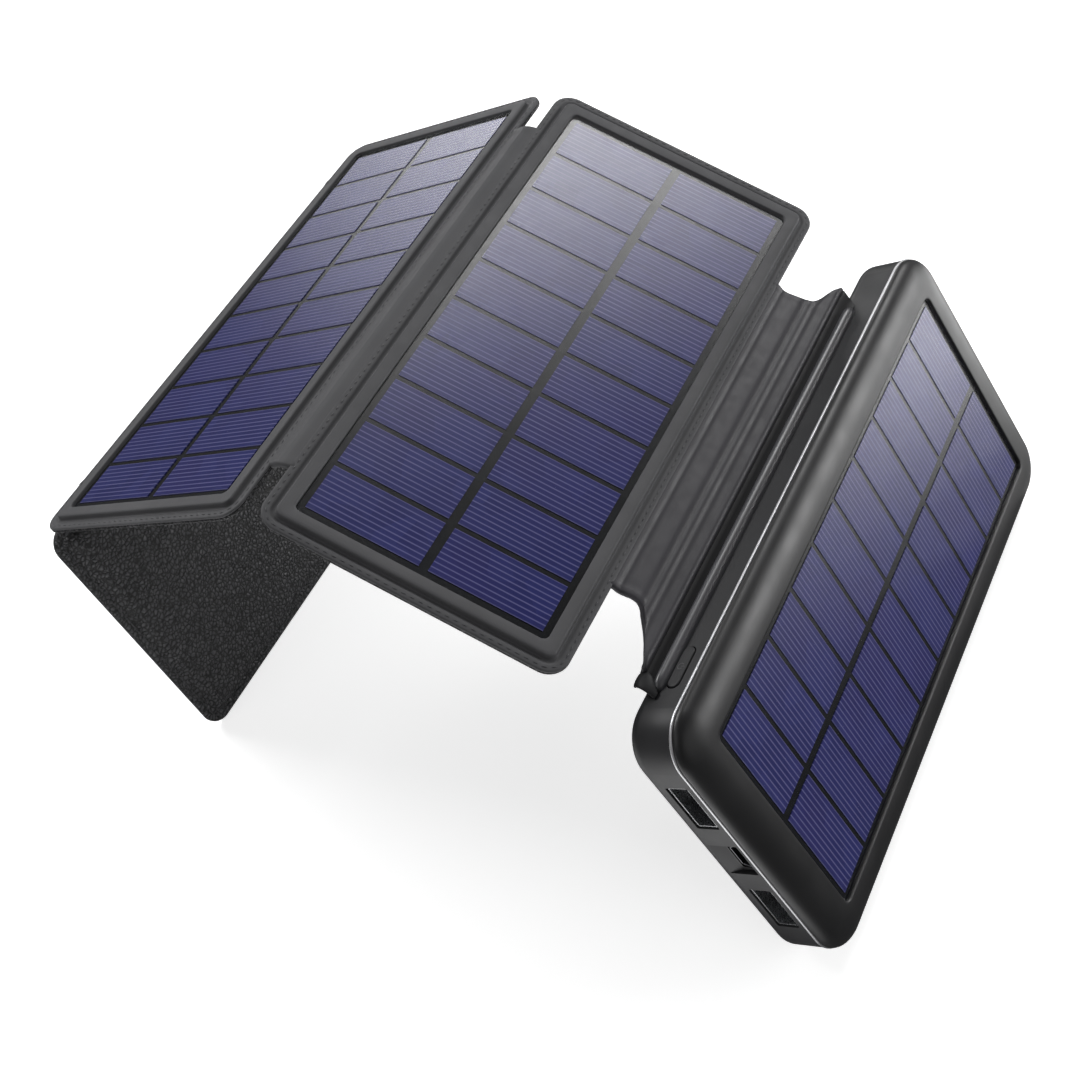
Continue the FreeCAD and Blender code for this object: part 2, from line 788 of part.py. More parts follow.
def make_ports():
    """Two USB-A sockets and one micro-USB socket, each a metal shell with a tongue."""
    mouth_y = "0 - bank_length / 2 + usb_recess"
    low_z = "0 - port_level - usb_height / 2"
    for side, sign in (("left", "0 - "), ("right", "")):
        centre = sign + "usb_spread"
        name = "usb_a_port_" + side
        left_x = centre + " - usb_width / 2"
        outer = box(name + "_outer", "usb_width", "usb_depth", "usb_height", left_x, mouth_y, low_z)
        inner = box(
            name + "_inner",
            "usb_width - 2 * usb_wall",
            "usb_depth - usb_wall",
            "usb_height - 2 * usb_wall",
            left_x + " + usb_wall",
            mouth_y,
            low_z + " + usb_wall",
        )
        register(name, cut(name, outer, inner), "bank")
        name = "usb_a_tongue_" + side
        tongue = box(
            name,
            "tongue_width",
            "tongue_depth",
            "tongue_thick",
            centre + " - tongue_width / 2",
            mouth_y + " + usb_depth - usb_wall - tongue_depth",
            low_z + " + usb_height - usb_wall - tongue_drop - tongue_thick",
        )
        register(name, tongue, "bank")
    mouth_y = "0 - bank_length / 2 + micro_recess"
    port = new_body("micro_usb_port")
    mouth_level = "bank_length / 2 - micro_recess"
    sketch = new_sketch(port, "micro_section", "XZ_Plane", "0", "0 - micro_level", mouth_level)
    half_high = "micro_height / 2"
    corners = [
        ("0 - micro_width / 2 + micro_height / 3", "0 - " + half_high),
        ("micro_width / 2 - micro_height / 3", "0 - " + half_high),
        ("micro_width / 2", "0"),
        ("micro_width / 2", half_high),
        ("0 - micro_width / 2", half_high),
        ("0 - micro_width / 2", "0"),
    ]
    draw_polygon(sketch, corners)
    solid = pad(port, sketch, "micro_depth")
    solid.Reversed = True
    doc.recompute()
    hollow = new_sketch(port, "micro_hollow", "XZ_Plane", "0", "0 - micro_level", mouth_level)
    inner_half = "(micro_height / 2 - micro_wall)"
    corners = [
        ("0 - micro_width / 2 + micro_height / 3", "0 - " + inner_half),
        ("micro_width / 2 - micro_height / 3", "0 - " + inner_half),
        ("micro_width / 2 - micro_wall", "micro_wall / 2"),
        ("micro_width / 2 - micro_wall", inner_half),
        ("micro_wall - micro_width / 2", inner_half),
        ("micro_wall - micro_width / 2", "micro_wall / 2"),
    ]
    draw_polygon(hollow, corners)
    pocket(port, hollow, "micro_depth - micro_wall")
    register("micro_usb_port", port, "bank")
    tongue = box(
        "micro_usb_tongue",
        "micro_width / 2",
        "micro_depth / 2",
        "micro_tongue",
        "0 - micro_width / 4",
        mouth_y + " + micro_depth / 2 - micro_wall",
        "0 - micro_level",
    )
    register("micro_usb_tongue", tongue, "bank")


def make_button_and_switch():
    """Pill shaped power button that slides inwards, and the switch behind it."""
    button = new_body("power_button")
    outer_x = "0 - bank_width / 2 - button_proud"
    sketch = new_sketch(button, "button_outline", "YZ_Plane", "button_y", "0 - button_level", outer_x)
    draw_rectangle(sketch, "button_length", "button_width", "button_width / 2.01")
    cap = pad(button, sketch, "button_proud + wall + button_foot_gap")
    round_edges(button, cap, "button_proud", at_side(value(outer_x)))
    foot_x = "0 - bank_width / 2 + wall + button_foot_gap"
    foot = new_sketch(button, "button_foot_outline", "YZ_Plane", "button_y", "0 - button_level", foot_x)
    foot_width = "(button_width + 2 * button_flange)"
    draw_rectangle(foot, "button_length + 2 * button_flange", foot_width, foot_width + " / 2.01")
    pad(button, foot, "button_foot")
    register("power_button", button, "button")

    board_top = "(0 - port_level - usb_height / 2)"
    travel_room = "(0 - bank_width / 2 + wall + button_foot_gap + button_foot + 0.55)"
    body = box(
        "switch_body",
        "switch_width",
        "switch_length",
        "switch_height",
        travel_room + " + switch_plunger",
        "button_y - switch_length / 2",
        board_top,
    )
    plunger = box(
        "switch_plunger_block",
        "switch_plunger",
        "switch_length / 3",
        "switch_height / 3",
        travel_room,
        "button_y - switch_length / 6",
        "0 - button_level - switch_height / 6",
    )
    switch = doc.addObject("Part::Fuse", "power_switch")
    switch.Base = body
    switch.Tool = plunger
    register("power_switch", switch, "bank")


def make_inside():
    """Circuit board with its screws, two battery cells and their leads."""
    board = new_body("main_board")
    board_top = "0 - port_level - usb_height / 2"
    sketch = new_sketch(board, "board_outline", "XY_Plane", "0", "pcb_centre_y", board_top + " - pcb_thick")
    draw_rectangle(sketch, "pcb_width", "pcb_length", "pcb_corner")
    pad(board, sketch, "pcb_thick")
    for side, sign in (("left", "0 - "), ("right", "")):
        hole = new_sketch(board, "board_hole_" + side, "XY_Plane", sign + "screw_x", "screw_y", board_top)
        draw_circle(hole, "screw_shank")
        pocket(board, hole, "pcb_thick")
    register("main_board", board, "bank")

    screws = new_body("board_screws")
    for side, sign in (("left", "0 - "), ("right", "")):
        head = new_sketch(screws, "screw_head_" + side, "XY_Plane", sign + "screw_x", "screw_y", board_top)
        draw_circle(head, "screw_head")
        pad(screws, head, "screw_head_thick")
        shank = new_sketch(
            screws, "screw_shank_" + side, "XY_Plane", sign + "screw_x", "screw_y", "floor - bank_depth"
        )
        draw_circle(shank, "screw_shank")
        pad(screws, shank, "bank_depth - floor - port_level - usb_height / 2")
    register("board_screws", screws, "bank")

    for name, sign in (("battery_cell_near", "0 - "), ("battery_cell_far", "")):
        cell = new_body(name)
        centre = "cell_pack_centre_y + " + sign + "(cell_pack_length + cell_pack_gap) / 2"
        centre = centre.replace("+ 0 -", "-")
        sketch = new_sketch(cell, name + "_outline", "XY_Plane", "0", centre, "floor - bank_depth")
        draw_rectangle(sketch, "cell_pack_width", "cell_pack_length", "cell_pack_round")
        block = pad(cell, sketch, "cell_pack_thick")
        low = size("floor") - size("bank_depth")
        levels = (low, low + size("cell_pack_thick"))
        round_edges(cell, block, "cell_pack_round", lambda edge: any(at_level(level)(edge) for level in levels))
        register(name, cell, "bank")

    for name, offset in (("battery_lead_positive", "lead_x"), ("battery_lead_negative", "lead_x / 2")):
        lead = new_body(name)
        start_y = "cell_pack_centre_y - cell_pack_gap / 2 - cell_pack_length"
        start = (value(start_y), value("floor - bank_depth + cell_pack_thick * 0.8"))
        bend = size("lead_bend")
        low_z = value(board_top)
        centre = Vector(start[0] - bend / 2, start[1] - bend, 0)
        path = new_sketch(lead, name + "_route", "YZ_Plane", "0", "0", offset)
        circle = Part.Circle(centre, Vector(0, 0, 1), bend)
        path.addGeometry(Part.LineSegment(Vector(start[0], start[1], 0), Vector(centre.x, start[1], 0)), False)
        path.addGeometry(Part.ArcOfCircle(circle, math.pi / 2, math.pi), False)
        drop_x = centre.x - bend
        path.addGeometry(Part.LineSegment(Vector(drop_x, centre.y, 0), Vector(drop_x, low_z, 0)), False)
        section = new_sketch(lead, name + "_section", "XZ_Plane", offset, str(start[1]), str(-start[0]))
        draw_circle(section, "lead_radius")
        pipe = lead.newObject("PartDesign::AdditivePipe", name + "_pipe")
        pipe.Profile = section
        pipe.Spine = path
        doc.recompute()
        register(name, lead, "bank")


make_front_shell()
make_trim_ring()
make_rear_shell()
make_laminate("bank", "bank", "0 - sheet_recess")
make_hinge_fittings()
make_ports()
make_button_and_switch()
make_inside()
make_strip("spine", "spine", "spine_chord", "spine_end_bank", arched=True)
make_panel("first", "first_panel", (1, -1))
make_strip("first_strip", "first_strip", "inner_chord", "narrow_end")
make_panel("second", "second_panel", (1, -1))
make_strip("second_strip", "second_strip", "outer_chord", "narrow_end")
make_panel("third", "third_panel", (1,))
doc.recompute()


# ---------------------------------------------------------------- open stance
def turned(angle):
    """A rotation that folds what hangs on the left downwards by an angle in degrees."""
    return FreeCAD.Rotation(Vector(0, -1, 0), angle)


def chain_placements():
    """Placement of every group in the bank's frame, and the line of every fold."""
    groups = {"bank": FreeCAD.Placement(), "button": FreeCAD.Placement()}
    folds = []
    line = Vector(-size("bank_width") / 2 - size("pivot_out"), 0, -size("pivot_level"))
    angle = 0.0
    half_panel = size("panel_width") / 2
    neutral = -(size("lining_thick") + size("leather_thick")) / 2
    links = (
        ("spine", "spine_chord", "fold_bank_spine", "first_panel", "fold_spine_first"),
        ("first_strip", "inner_chord", "fold_first_narrow", "second_panel", "fold_narrow_second"),
        ("second_strip", "outer_chord", "fold_second_narrow", "third_panel", "fold_narrow_third"),
    )
    for strip, chord, strip_fold, panel, panel_fold in links:
        angle += size(strip_fold)
        folds.append((strip, line))
        towards_left = turned(angle).multVec(Vector(-size(chord), 0, 0))
        groups[strip] = FreeCAD.Placement(line + towards_left * 0.5, turned(angle))
        line = line + towards_left
        angle += size(panel_fold)
        folds.append((panel, line))
        rotation = turned(angle)
        centre = line - rotation.multVec(Vector(half_panel, 0, neutral))
        groups[panel] = FreeCAD.Placement(centre, rotation)
        line = centre + rotation.multVec(Vector(-half_panel, 0, neutral))
    return groups, folds


def standing_rotation(groups):
    """Rotation that rests the third panel's free edge and the bank's rear edge on the floor.

    The floor touches the edge's corner and is tangent to the rounding of the bank.
    """
    radius = size("rear_round")
    free_edge = groups["third_panel"].multVec(Vector(-size("panel_width") / 2, 0, 0))
    rounding = Vector(size("bank_width") / 2 - radius, 0, radius - size("bank_depth"))
    span = rounding - free_edge
    reach = math.hypot(span.x, span.z)
    tilt = math.acos(radius / reach) - math.atan2(span.x, span.z)
    return FreeCAD.Rotation(Vector(0, 1, 0), math.degrees(tilt))


groups, folds = chain_placements()
stance = FreeCAD.Placement(Vector(0, 0, 0), standing_rotation(groups))
shapes = []
for feature, group in SUBPARTS.values():
    drawn = feature.Placement
    feature_shape = feature.Shape.copy()
    feature_shape.Placement = stance.multiply(groups[group]).multiply(drawn)
    shapes.append(feature_shape)
extent = Part.makeCompound(shapes).optimalBoundingBox(False)
to_origin = Vector(-(extent.XMin + extent.XMax) / 2, -(extent.YMin + extent.YMax) / 2, -extent.ZMin)
stance = FreeCAD.Placement(to_origin, stance.Rotation)
for feature, group in SUBPARTS.values():
    placement = stance.multiply(groups[group])
    if feature.TypeId == "Part::Box":
        for name in ("x", "y", "z"):
            feature.setExpression("Placement.Base." + name, None)
    feature.Placement = placement.multiply(feature.Placement)
doc.recompute()

# ---------------------------------------------------------------- checks and export
for thing in doc.Objects:
    if "Invalid" in thing.State or "Error" in thing.State:
        raise ValueError("failed object: " + thing.Label)
os.makedirs("parts", exist_ok=True)
for node, (feature, group) in SUBPARTS.items():
    shape = feature.Shape
    if shape.isNull() or not shape.isValid():
        raise ValueError("bad shape: " + node)
    shape.exportStep("parts/%s.step" % node)
print("nodes", len(SUBPARTS))
print("box", extent.XLength, extent.YLength, extent.ZLength)
for child, line in folds:
    place = stance.multVec(line)
    print("fold line of %s: x %.3f z %.3f" % (child, place.x, place.z))
print("bank tilt %.6f" % stance.Rotation.Angle)
print("bank origin %.4f %.4f %.4f" % tuple(stance.Base))
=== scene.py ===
"""Looks of the folding solar power bank: leather, soft hinge strips, glossy solar windows, light."""
import json
import math
import bpy
import bmesh
from mathutils import Matrix, Vector, noise


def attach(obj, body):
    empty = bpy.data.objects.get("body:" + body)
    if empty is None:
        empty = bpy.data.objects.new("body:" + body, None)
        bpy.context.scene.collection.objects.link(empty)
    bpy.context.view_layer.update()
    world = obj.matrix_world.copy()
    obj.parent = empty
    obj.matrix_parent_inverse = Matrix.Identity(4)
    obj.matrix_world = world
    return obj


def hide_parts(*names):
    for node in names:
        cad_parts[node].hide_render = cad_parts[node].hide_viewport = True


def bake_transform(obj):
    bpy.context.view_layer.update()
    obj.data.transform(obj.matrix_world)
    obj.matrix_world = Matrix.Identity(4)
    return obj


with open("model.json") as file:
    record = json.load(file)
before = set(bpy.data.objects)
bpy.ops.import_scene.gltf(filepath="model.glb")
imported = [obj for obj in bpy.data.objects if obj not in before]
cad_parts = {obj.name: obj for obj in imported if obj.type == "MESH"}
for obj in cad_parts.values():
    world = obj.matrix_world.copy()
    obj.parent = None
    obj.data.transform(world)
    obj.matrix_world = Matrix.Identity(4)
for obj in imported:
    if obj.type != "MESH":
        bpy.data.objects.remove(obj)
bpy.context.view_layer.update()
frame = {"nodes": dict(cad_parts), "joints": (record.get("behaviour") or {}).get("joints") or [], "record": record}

# ------------------------------------------------------------------ sizes, in millimetres
MM = 0.001
PANEL_W, PANEL_L, PANEL_R = 70.6, 148.0, 5.0
WINDOW_W, WINDOW_L, WINDOW_R = 58.4, 135.4, 1.5
BANK_W, BANK_L, BANK_R, BANK_DEPTH = 77.4, 155.0, 9.5, 16.2
NEUTRAL = 0.8            # depth of the fold lines under a panel's front rim
LAST_FOLD = 36.2         # fold between the outer strip and the third panel, in degrees
CELL_PITCH = 13.33       # from one row of cells to the next
FINGERS_PER_ROW = 10     # fine lines across each cell
BANK_WALL = -BANK_W / 2  # left wall of the bank, which the spine is clamped to
FLANGE_LEVEL = -14.0     # height of the clamped leather, below the bank's window

# ------------------------------------------------------------------ frames of the moving groups
joints = {joint["name"]: Vector(joint["pos_m"]) for joint in frame["joints"]}


def group_frame(origin, x_axis):
    """Matrix from a group's own millimetres (x across, y along, z solar side) to the row frame."""
    x = x_axis.normalized()
    columns = Matrix(((x.x, 0, -x.z, origin.x), (0, 1, 0, origin.y), (x.z, 0, x.x, origin.z), (0, 0, 0, 1)))
    return columns @ Matrix.Scale(MM, 4)


def solar_normal(x_axis):
    """Direction out of the solar side for a group whose x axis is given."""
    x = x_axis.normalized()
    return Vector((-x.z, 0, x.x))


def frame_between(right, left, lift):
    """Frame of a group that hangs between two fold lines, raised off them by lift."""
    across = right - left
    return group_frame((right + left) / 2 + solar_normal(across) * lift * MM, across)


def bank_frame():
    """Frame of the power bank, from its flat rear face."""
    mount = frame["record"]["mounts"][0]
    normal = -Vector(mount["axis"])
    across = Vector((normal.z, 0, -normal.x))
    return group_frame(Vector(mount["pos_m"]) + normal * BANK_DEPTH * MM, across)


def third_panel_frame():
    """Frame of the last panel, which hangs from one fold line only."""
    across = joints["fold_second_outer"] - joints["fold_outer_third"]
    across.rotate(Matrix.Rotation(math.radians(-LAST_FOLD), 3, "Y"))
    across.normalize()
    origin = joints["fold_outer_third"] - across * PANEL_W / 2 * MM
    return group_frame(origin + solar_normal(across) * NEUTRAL * MM, across)


FRAMES = {
    "power_bank": bank_frame(),
    "spine_fold": frame_between(joints["fold_bank_spine"], joints["fold_spine_first"], 0),
    "first_panel": frame_between(joints["fold_spine_first"], joints["fold_first_inner"], NEUTRAL),
    "inner_fold": frame_between(joints["fold_first_inner"], joints["fold_inner_second"], 0),
    "second_panel": frame_between(joints["fold_inner_second"], joints["fold_second_outer"], NEUTRAL),
    "outer_fold": frame_between(joints["fold_second_outer"], joints["fold_outer_third"], 0),
    "third_panel": third_panel_frame(),
}
FRAMES["button"] = FRAMES["power_bank"]


# ------------------------------------------------------------------ materials
class Nodes:
    """A material under construction: short calls for adding and joining nodes."""

    def __init__(self, name):
        self.material = bpy.data.materials.new(name)
        self.material.use_nodes = True
        self.tree = self.material.node_tree
        self.shader = self.tree.nodes["Principled BSDF"]
        self.place = self.add("ShaderNodeTexCoord").outputs["Object"]

    def add(self, kind, **values):
        """A node; keywords set its sockets (spaces as underscores) or its own properties."""
        node = self.tree.nodes.new(kind)
        for key, value in values.items():
            if hasattr(node, key):
                setattr(node, key, value)
            else:
                self.feed(node.inputs[key.replace("_", " ")], value)
        return node

    def feed(self, socket, value):
        """Join an output to a socket, or set the socket to a plain value."""
        if isinstance(value, bpy.types.NodeSocket):
            self.tree.links.new(value, socket)
        else:
            socket.default_value = value

    def math(self, operation, first, second=0.0):
        """One arithmetic step."""
        node = self.add("ShaderNodeMath", operation=operation)
        self.feed(node.inputs[0], first)
        self.feed(node.inputs[1], second)
        return node.outputs[0]

    def noise(self, scale, detail=3.0, vector=None):
        """Fractal noise between 0 and 1."""
        node = self.add("ShaderNodeTexNoise", Scale=scale, Detail=detail)
        self.feed(node.inputs["Vector"], vector or self.place)
        return node.outputs["Fac"]

    def cells(self, scale, feature, vector):
        """Distance to scattered points, for grain."""
        node = self.add("ShaderNodeTexVoronoi", feature=feature, Scale=scale)
        self.feed(node.inputs["Vector"], vector)
        return node

    def ramp(self, value, low, high, out_low=0.0, out_high=1.0):
        """Map one range of values smoothly onto another, clamped."""
        node = self.add("ShaderNodeMapRange", interpolation_type="SMOOTHSTEP")
        for key, number in (("Value", value), ("From Min", low), ("From Max", high)):
            self.feed(node.inputs[key], number)
        self.feed(node.inputs["To Min"], out_low)
        self.feed(node.inputs["To Max"], out_high)
        return node.outputs[0]

    def mix(self, factor, first, second):
        """Mix two colours."""
        node = self.add("ShaderNodeMix", data_type="RGBA")
        self.feed(node.inputs[0], factor)
        self.feed(node.inputs[6], first)
        self.feed(node.inputs[7], second)
        return node.outputs[2]

    def bump(self, height, distance, strength=1.0, under=None):
        """Raise the surface by a height from 0 to 1 times a distance in millimetres."""
        node = self.add("ShaderNodeBump", Strength=strength, Distance=distance * MM, Height=height)
        if under is not None:
            self.feed(node.inputs["Normal"], under)
        return node.outputs[0]

    def finish(self, **sockets):
        """Set the shader's sockets and return the material."""
        for key, value in sockets.items():
            self.feed(self.shader.inputs[key.replace("_", " ")], value)
        return self.material


def srgb(code):
    """Linear colour from a hexadecimal one."""
    parts = [int(code[index:index + 2], 16) / 255 for index in (0, 2, 4)]
    linear = [part / 12.92 if part <= 0.04045 else ((part + 0.055) / 1.055) ** 2.4 for part in parts]
    return (*linear, 1.0)


PEBBLE_SCALE = 930.0     # pebbles to a metre


def make_pebbled_leather():
    """Outer leather: irregular raised pebbles about 1 mm across, with painted shade in the creases between them
    and a painted highlight on the pebble tops in patches.
    """
    m = Nodes("pebbled_leather")
    drift = m.add("ShaderNodeTexNoise", Scale=420.0, Detail=2.0, Vector=m.place)
    bent = m.add("ShaderNodeVectorMath", operation="MULTIPLY_ADD")
    m.feed(bent.inputs[0], drift.outputs["Color"])
    m.feed(bent.inputs[1], (0.0013, 0.0013, 0.0013))
    m.feed(bent.inputs[2], m.place)
    pebble = m.cells(PEBBLE_SCALE, "SMOOTH_F1", bent.outputs[0])
    m.feed(pebble.inputs["Smoothness"], 0.15)
    tops = m.ramp(pebble.outputs["Distance"], 0.08, 0.60, 1.0, 0.0)
    crease = m.cells(PEBBLE_SCALE, "DISTANCE_TO_EDGE", bent.outputs[0])
    crease_depth_and_shade = m.ramp(crease.outputs["Distance"], 0.0, 0.22)
    fine = m.noise(3600.0, 3.0)
    # patches where the painted highlight on the pebble tops is stronger
    top_highlight_patches = m.ramp(m.noise(240.0, 3.0), 0.38, 0.68)
    # painted shade: the creases between the pebbles are coloured near black, where shade falls
    colour = m.mix(crease_depth_and_shade, srgb("0a0a0a"), srgb("3e3e41"))
    # painted highlight: the pebble tops are coloured paler, more so in scattered patches
    colour = m.mix(m.math("MULTIPLY", tops, m.ramp(top_highlight_patches, 0.0, 1.0, 0.15, 0.75)), colour, srgb("525254"))
    roughness = m.ramp(m.math("ADD", m.math("MULTIPLY", fine, 0.4), tops), 0.1, 1.2, 0.58, 0.36)
    height = m.bump(tops, 0.20, 0.9)
    height = m.bump(crease_depth_and_shade, 0.12, 0.9, height)
    height = m.bump(fine, 0.03, 0.5, height)
    return m.finish(Base_Color=colour, Roughness=roughness, Normal=height, Specular_IOR_Level=0.7)


def make_smooth_leather(name, dark, light, grain=0.02, rough=(0.52, 0.44), specular=0.45):
    """Smooth leather, or thread: a fine even grain, with faint paler and glossier patches."""
    m = Nodes(name)
    fine = m.noise(2600.0, 2.0)
    cloud = m.noise(60.0, 2.0)
    colour = m.mix(m.ramp(cloud, 0.3, 0.7), srgb(dark), srgb(light))
    roughness = m.ramp(m.noise(300.0, 2.0), 0.3, 0.7, rough[0], rough[1])
    height = m.bump(fine, grain, 0.5)
    return m.finish(Base_Color=colour, Roughness=roughness, Normal=height, Specular_IOR_Level=specular)


def make_plastic(name, dark, light, low, high, specular=0.5, grain=0.012):
    """Moulded plastic with a very fine texture and faint uneven gloss."""
    m = Nodes(name)
    cloud = m.noise(45.0, 4.0)
    colour = m.mix(m.ramp(cloud, 0.3, 0.7), srgb(dark), srgb(light))
    roughness = m.ramp(m.noise(130.0, 4.0), 0.3, 0.7, low, high)
    height = m.bump(m.noise(5200.0, 2.0), grain, 0.6)
    return m.finish(Base_Color=colour, Roughness=roughness, Normal=height, Specular_IOR_Level=specular)


def make_metal(name, tint, low, high, brushed=False):
    """Metal with fine scratches, which run along y where it is brushed."""
    m = Nodes(name)
    stretched = m.add("ShaderNodeMapping")
    m.feed(stretched.inputs["Vector"], m.place)
    m.feed(stretched.inputs["Scale"], (1.0, 0.06 if brushed else 1.0, 1.0))
    scratches = m.noise(3800.0, 4.0, stretched.outputs[0])
    colour = m.mix(m.ramp(m.noise(160.0, 3.0), 0.3, 0.7), tint, [part * 0.86 for part in tint[:3]] + [1.0])
    roughness = m.ramp(scratches, 0.3, 0.7, low, high)
    height = m.bump(scratches, 0.01, 0.5)
    return m.finish(Base_Color=colour, Metallic=1.0, Roughness=roughness, Normal=height)


def local_axes(m, group):
    """How far along y a point is in a group's own metres, and its whole texture place."""
    matrix = FRAMES[group]
    node = m.add("ShaderNodeMapping", vector_type="TEXTURE")
    m.feed(node.inputs["Vector"], m.place)
    node.inputs["Location"].default_value = matrix.translation
    node.inputs["Rotation"].default_value = matrix.to_euler()
    split = m.add("ShaderNodeSeparateXYZ")
    m.feed(split.inputs[0], node.outputs[0])
    return split.outputs["Y"], node.outputs[0]


# What lies under a clear sheet is varnished: this coat, not the sheet, gives a window its gloss.
VARNISH = {"Specular_IOR_Level": 0.04, "Coat_Weight": 1.0, "Coat_Roughness": 0.2, "Coat_IOR": 1.5}
FINGER_COLOUR = srgb("6a699c")


def make_cells(group):
    """Silicon: indigo with fine pale fingers across, paler cell ends, and faint crystal tints."""
    m = Nodes("solar_cells_" + group)
    along, place = local_axes(m, group)
    finger = m.math("MULTIPLY", along, 1.0 / (CELL_PITCH / FINGERS_PER_ROW * MM))
    finger = m.math("ABSOLUTE", m.math("SUBTRACT", m.math("FRACT", finger), 0.5))
    line = m.ramp(finger, 0.05, 0.16, 1.0, 0.0)
    crystal = m.cells(150.0, "F1", place).outputs["Color"]
    tint = m.add("ShaderNodeSeparateColor", Color=crystal).outputs[0]
    colour = m.mix(tint, srgb("1f235f"), srgb("262b69"))
    colour = m.mix(m.ramp(m.noise(32.0, 2.0, place), 0.35, 0.7, 0.0, 0.4), colour, srgb("2c2462"))
    colour = m.mix(m.math("MULTIPLY", line, 0.8), colour, FINGER_COLOUR)
    rim = m.math("MULTIPLY", along, 1.0 / (CELL_PITCH * MM))
    rim = m.math("ABSOLUTE", m.math("SUBTRACT", m.math("FRACT", rim), 0.5))
    colour = m.mix(m.ramp(rim, 0.425, 0.445, 0.0, 0.25), colour, FINGER_COLOUR)
    height = m.bump(line, 0.008, 0.4)
    roughness = m.ramp(line, 0.0, 1.0, 0.5, 0.4)
    return m.finish(Base_Color=colour, Roughness=roughness, Normal=height, **VARNISH)


def make_backing():
    """Black board that the cells lie on."""
    m = Nodes("solar_backing")
    colour = m.mix(m.ramp(m.noise(120.0, 3.0), 0.3, 0.7), srgb("07090d"), srgb("0c0f15"))
    height = m.bump(m.noise(2400.0, 2.0), 0.01, 0.4)
    roughness = m.ramp(m.noise(300.0, 2.0), 0.3, 0.7, 0.55, 0.46)
    return m.finish(Base_Color=colour, Roughness=roughness, Normal=height, **VARNISH)


def make_cover():
    """Clear sheet over the cells, nearly invisible."""
    m = Nodes("clear_cover")
    colour = m.mix(m.ramp(m.noise(40.0, 3.0), 0.3, 0.7), srgb("050507"), srgb("08080b"))
    roughness = m.ramp(m.noise(220.0, 2.0), 0.3, 0.7, 0.20, 0.26)
    return m.finish(Base_Color=colour, Roughness=roughness, Alpha=0.05, Specular_IOR_Level=0.6)


FLOOR_GLOW = 0.70        # light that the floor gives off, so that it comes out near white


def make_floor():
    """Pale studio floor, with a glow of its own."""
    m = Nodes("studio_floor")
    colour = m.mix(m.ramp(m.noise(3.0, 2.0), 0.3, 0.7), (0.86, 0.86, 0.86, 1), (0.88, 0.88, 0.88, 1))
    return m.finish(
        Base_Color=colour,
        Roughness=0.55,
        Emission_Color=(1.0, 1.0, 1.0, 1.0),
        Emission_Strength=FLOOR_GLOW,
    )


LEATHER = make_pebbled_leather()
LINING = make_smooth_leather("lining_leather", "4d4d4f", "525254", 0.02, (0.6, 0.52), 0.2)
HINGE_LEATHER = make_smooth_leather("hinge_leather", "343337", "3a393d", 0.02, (0.50, 0.44), 0.3)
DARK_LEATHER = make_smooth_leather("dark_leather", "18181a", "1e1e20", 0.03, (0.56, 0.5), 0.25)
THREAD = make_smooth_leather("thread", "3c3c3f", "474749", 0.03)
BANK_PLASTIC = make_plastic("bank_plastic", "111113", "151517", 0.40, 0.46, 0.55)
CASE_PLASTIC = make_plastic("case_plastic", "232325", "28282a", 0.42, 0.5, 0.35)
GLOSS_PLASTIC = make_plastic("gloss_plastic", "38383c", "3e3e42", 0.36, 0.42, 1.0, 0.004)
BLACK_PLASTIC = make_plastic("black_plastic", "060607", "0a0a0b", 0.3, 0.42)
SILVER = make_metal("silver_trim", (0.66, 0.66, 0.68, 1.0), 0.40, 0.48, brushed=True)
STEEL = make_metal("port_steel", (0.72, 0.73, 0.75, 1.0), 0.22, 0.34)
DARK_STEEL = make_metal("dark_steel", (0.16, 0.16, 0.17, 1.0), 0.34, 0.44)
COPPER = make_metal("tinned_copper", (0.55, 0.42, 0.32, 1.0), 0.3, 0.4, brushed=True)
FOIL = make_metal("battery_foil", (0.55, 0.56, 0.58, 1.0), 0.3, 0.42)
BOARD = make_plastic("circuit_board", "12351f", "173f26", 0.3, 0.4)
CARD = make_plastic("stiffener_card", "403e3a", "4a4844", 0.7, 0.8)
RED_WIRE = make_plastic("red_wire", "7c1a18", "8c1f1c", 0.35, 0.45)
BLACK_WIRE = make_plastic("black_wire", "0c0c0c", "121212", 0.35, 0.45)
BACKING = make_backing()
COVER = make_cover()


def paint(node, material):
    """Give a CAD node a material in all its slots."""
    mesh = frame["nodes"][node].data
    if not mesh.materials:
        mesh.materials.append(material)
    for index in range(len(mesh.materials)):
        mesh.materials[index] = material


PANELS = ("first", "second", "third")
PAINTED = {
    "rear_shell": CASE_PLASTIC,
    "front_shell": BANK_PLASTIC,
    "trim_ring": SILVER,
    "hinge_bar": GLOSS_PLASTIC,
    "spine_tab": HINGE_LEATHER,
    "usb_a_port_left": STEEL,
    "usb_a_port_right": STEEL,
    "micro_usb_port": DARK_STEEL,
    "board_screws": STEEL,
    "usb_a_tongue_left": BLACK_PLASTIC,
    "usb_a_tongue_right": BLACK_PLASTIC,
    "micro_usb_tongue": BLACK_PLASTIC,
    "power_switch": BLACK_PLASTIC,
    "power_button": CASE_PLASTIC,
    "main_board": BOARD,
    "battery_cell_near": FOIL,
    "battery_cell_far": FOIL,
    "battery_lead_positive": RED_WIRE,
    "battery_lead_negative": BLACK_WIRE,
    "spine_ribbon": COPPER,
    "first_strip_ribbon": COPPER,
    "second_strip_ribbon": COPPER,
}
for node, material in PAINTED.items():
    paint(node, material)
for prefix in ("bank",) + PANELS:
    group = "power_bank" if prefix == "bank" else prefix + "_panel"
    paint(prefix + "_solar_cells", make_cells(group))
    paint(prefix + "_solar_board", BACKING)
    paint(prefix + "_cover_sheet", COVER)
for prefix in PANELS:
    paint(prefix + "_stiffener", CARD)
    paint(prefix + "_front_lining", LINING)
    paint(prefix + "_back_cover", LEATHER)


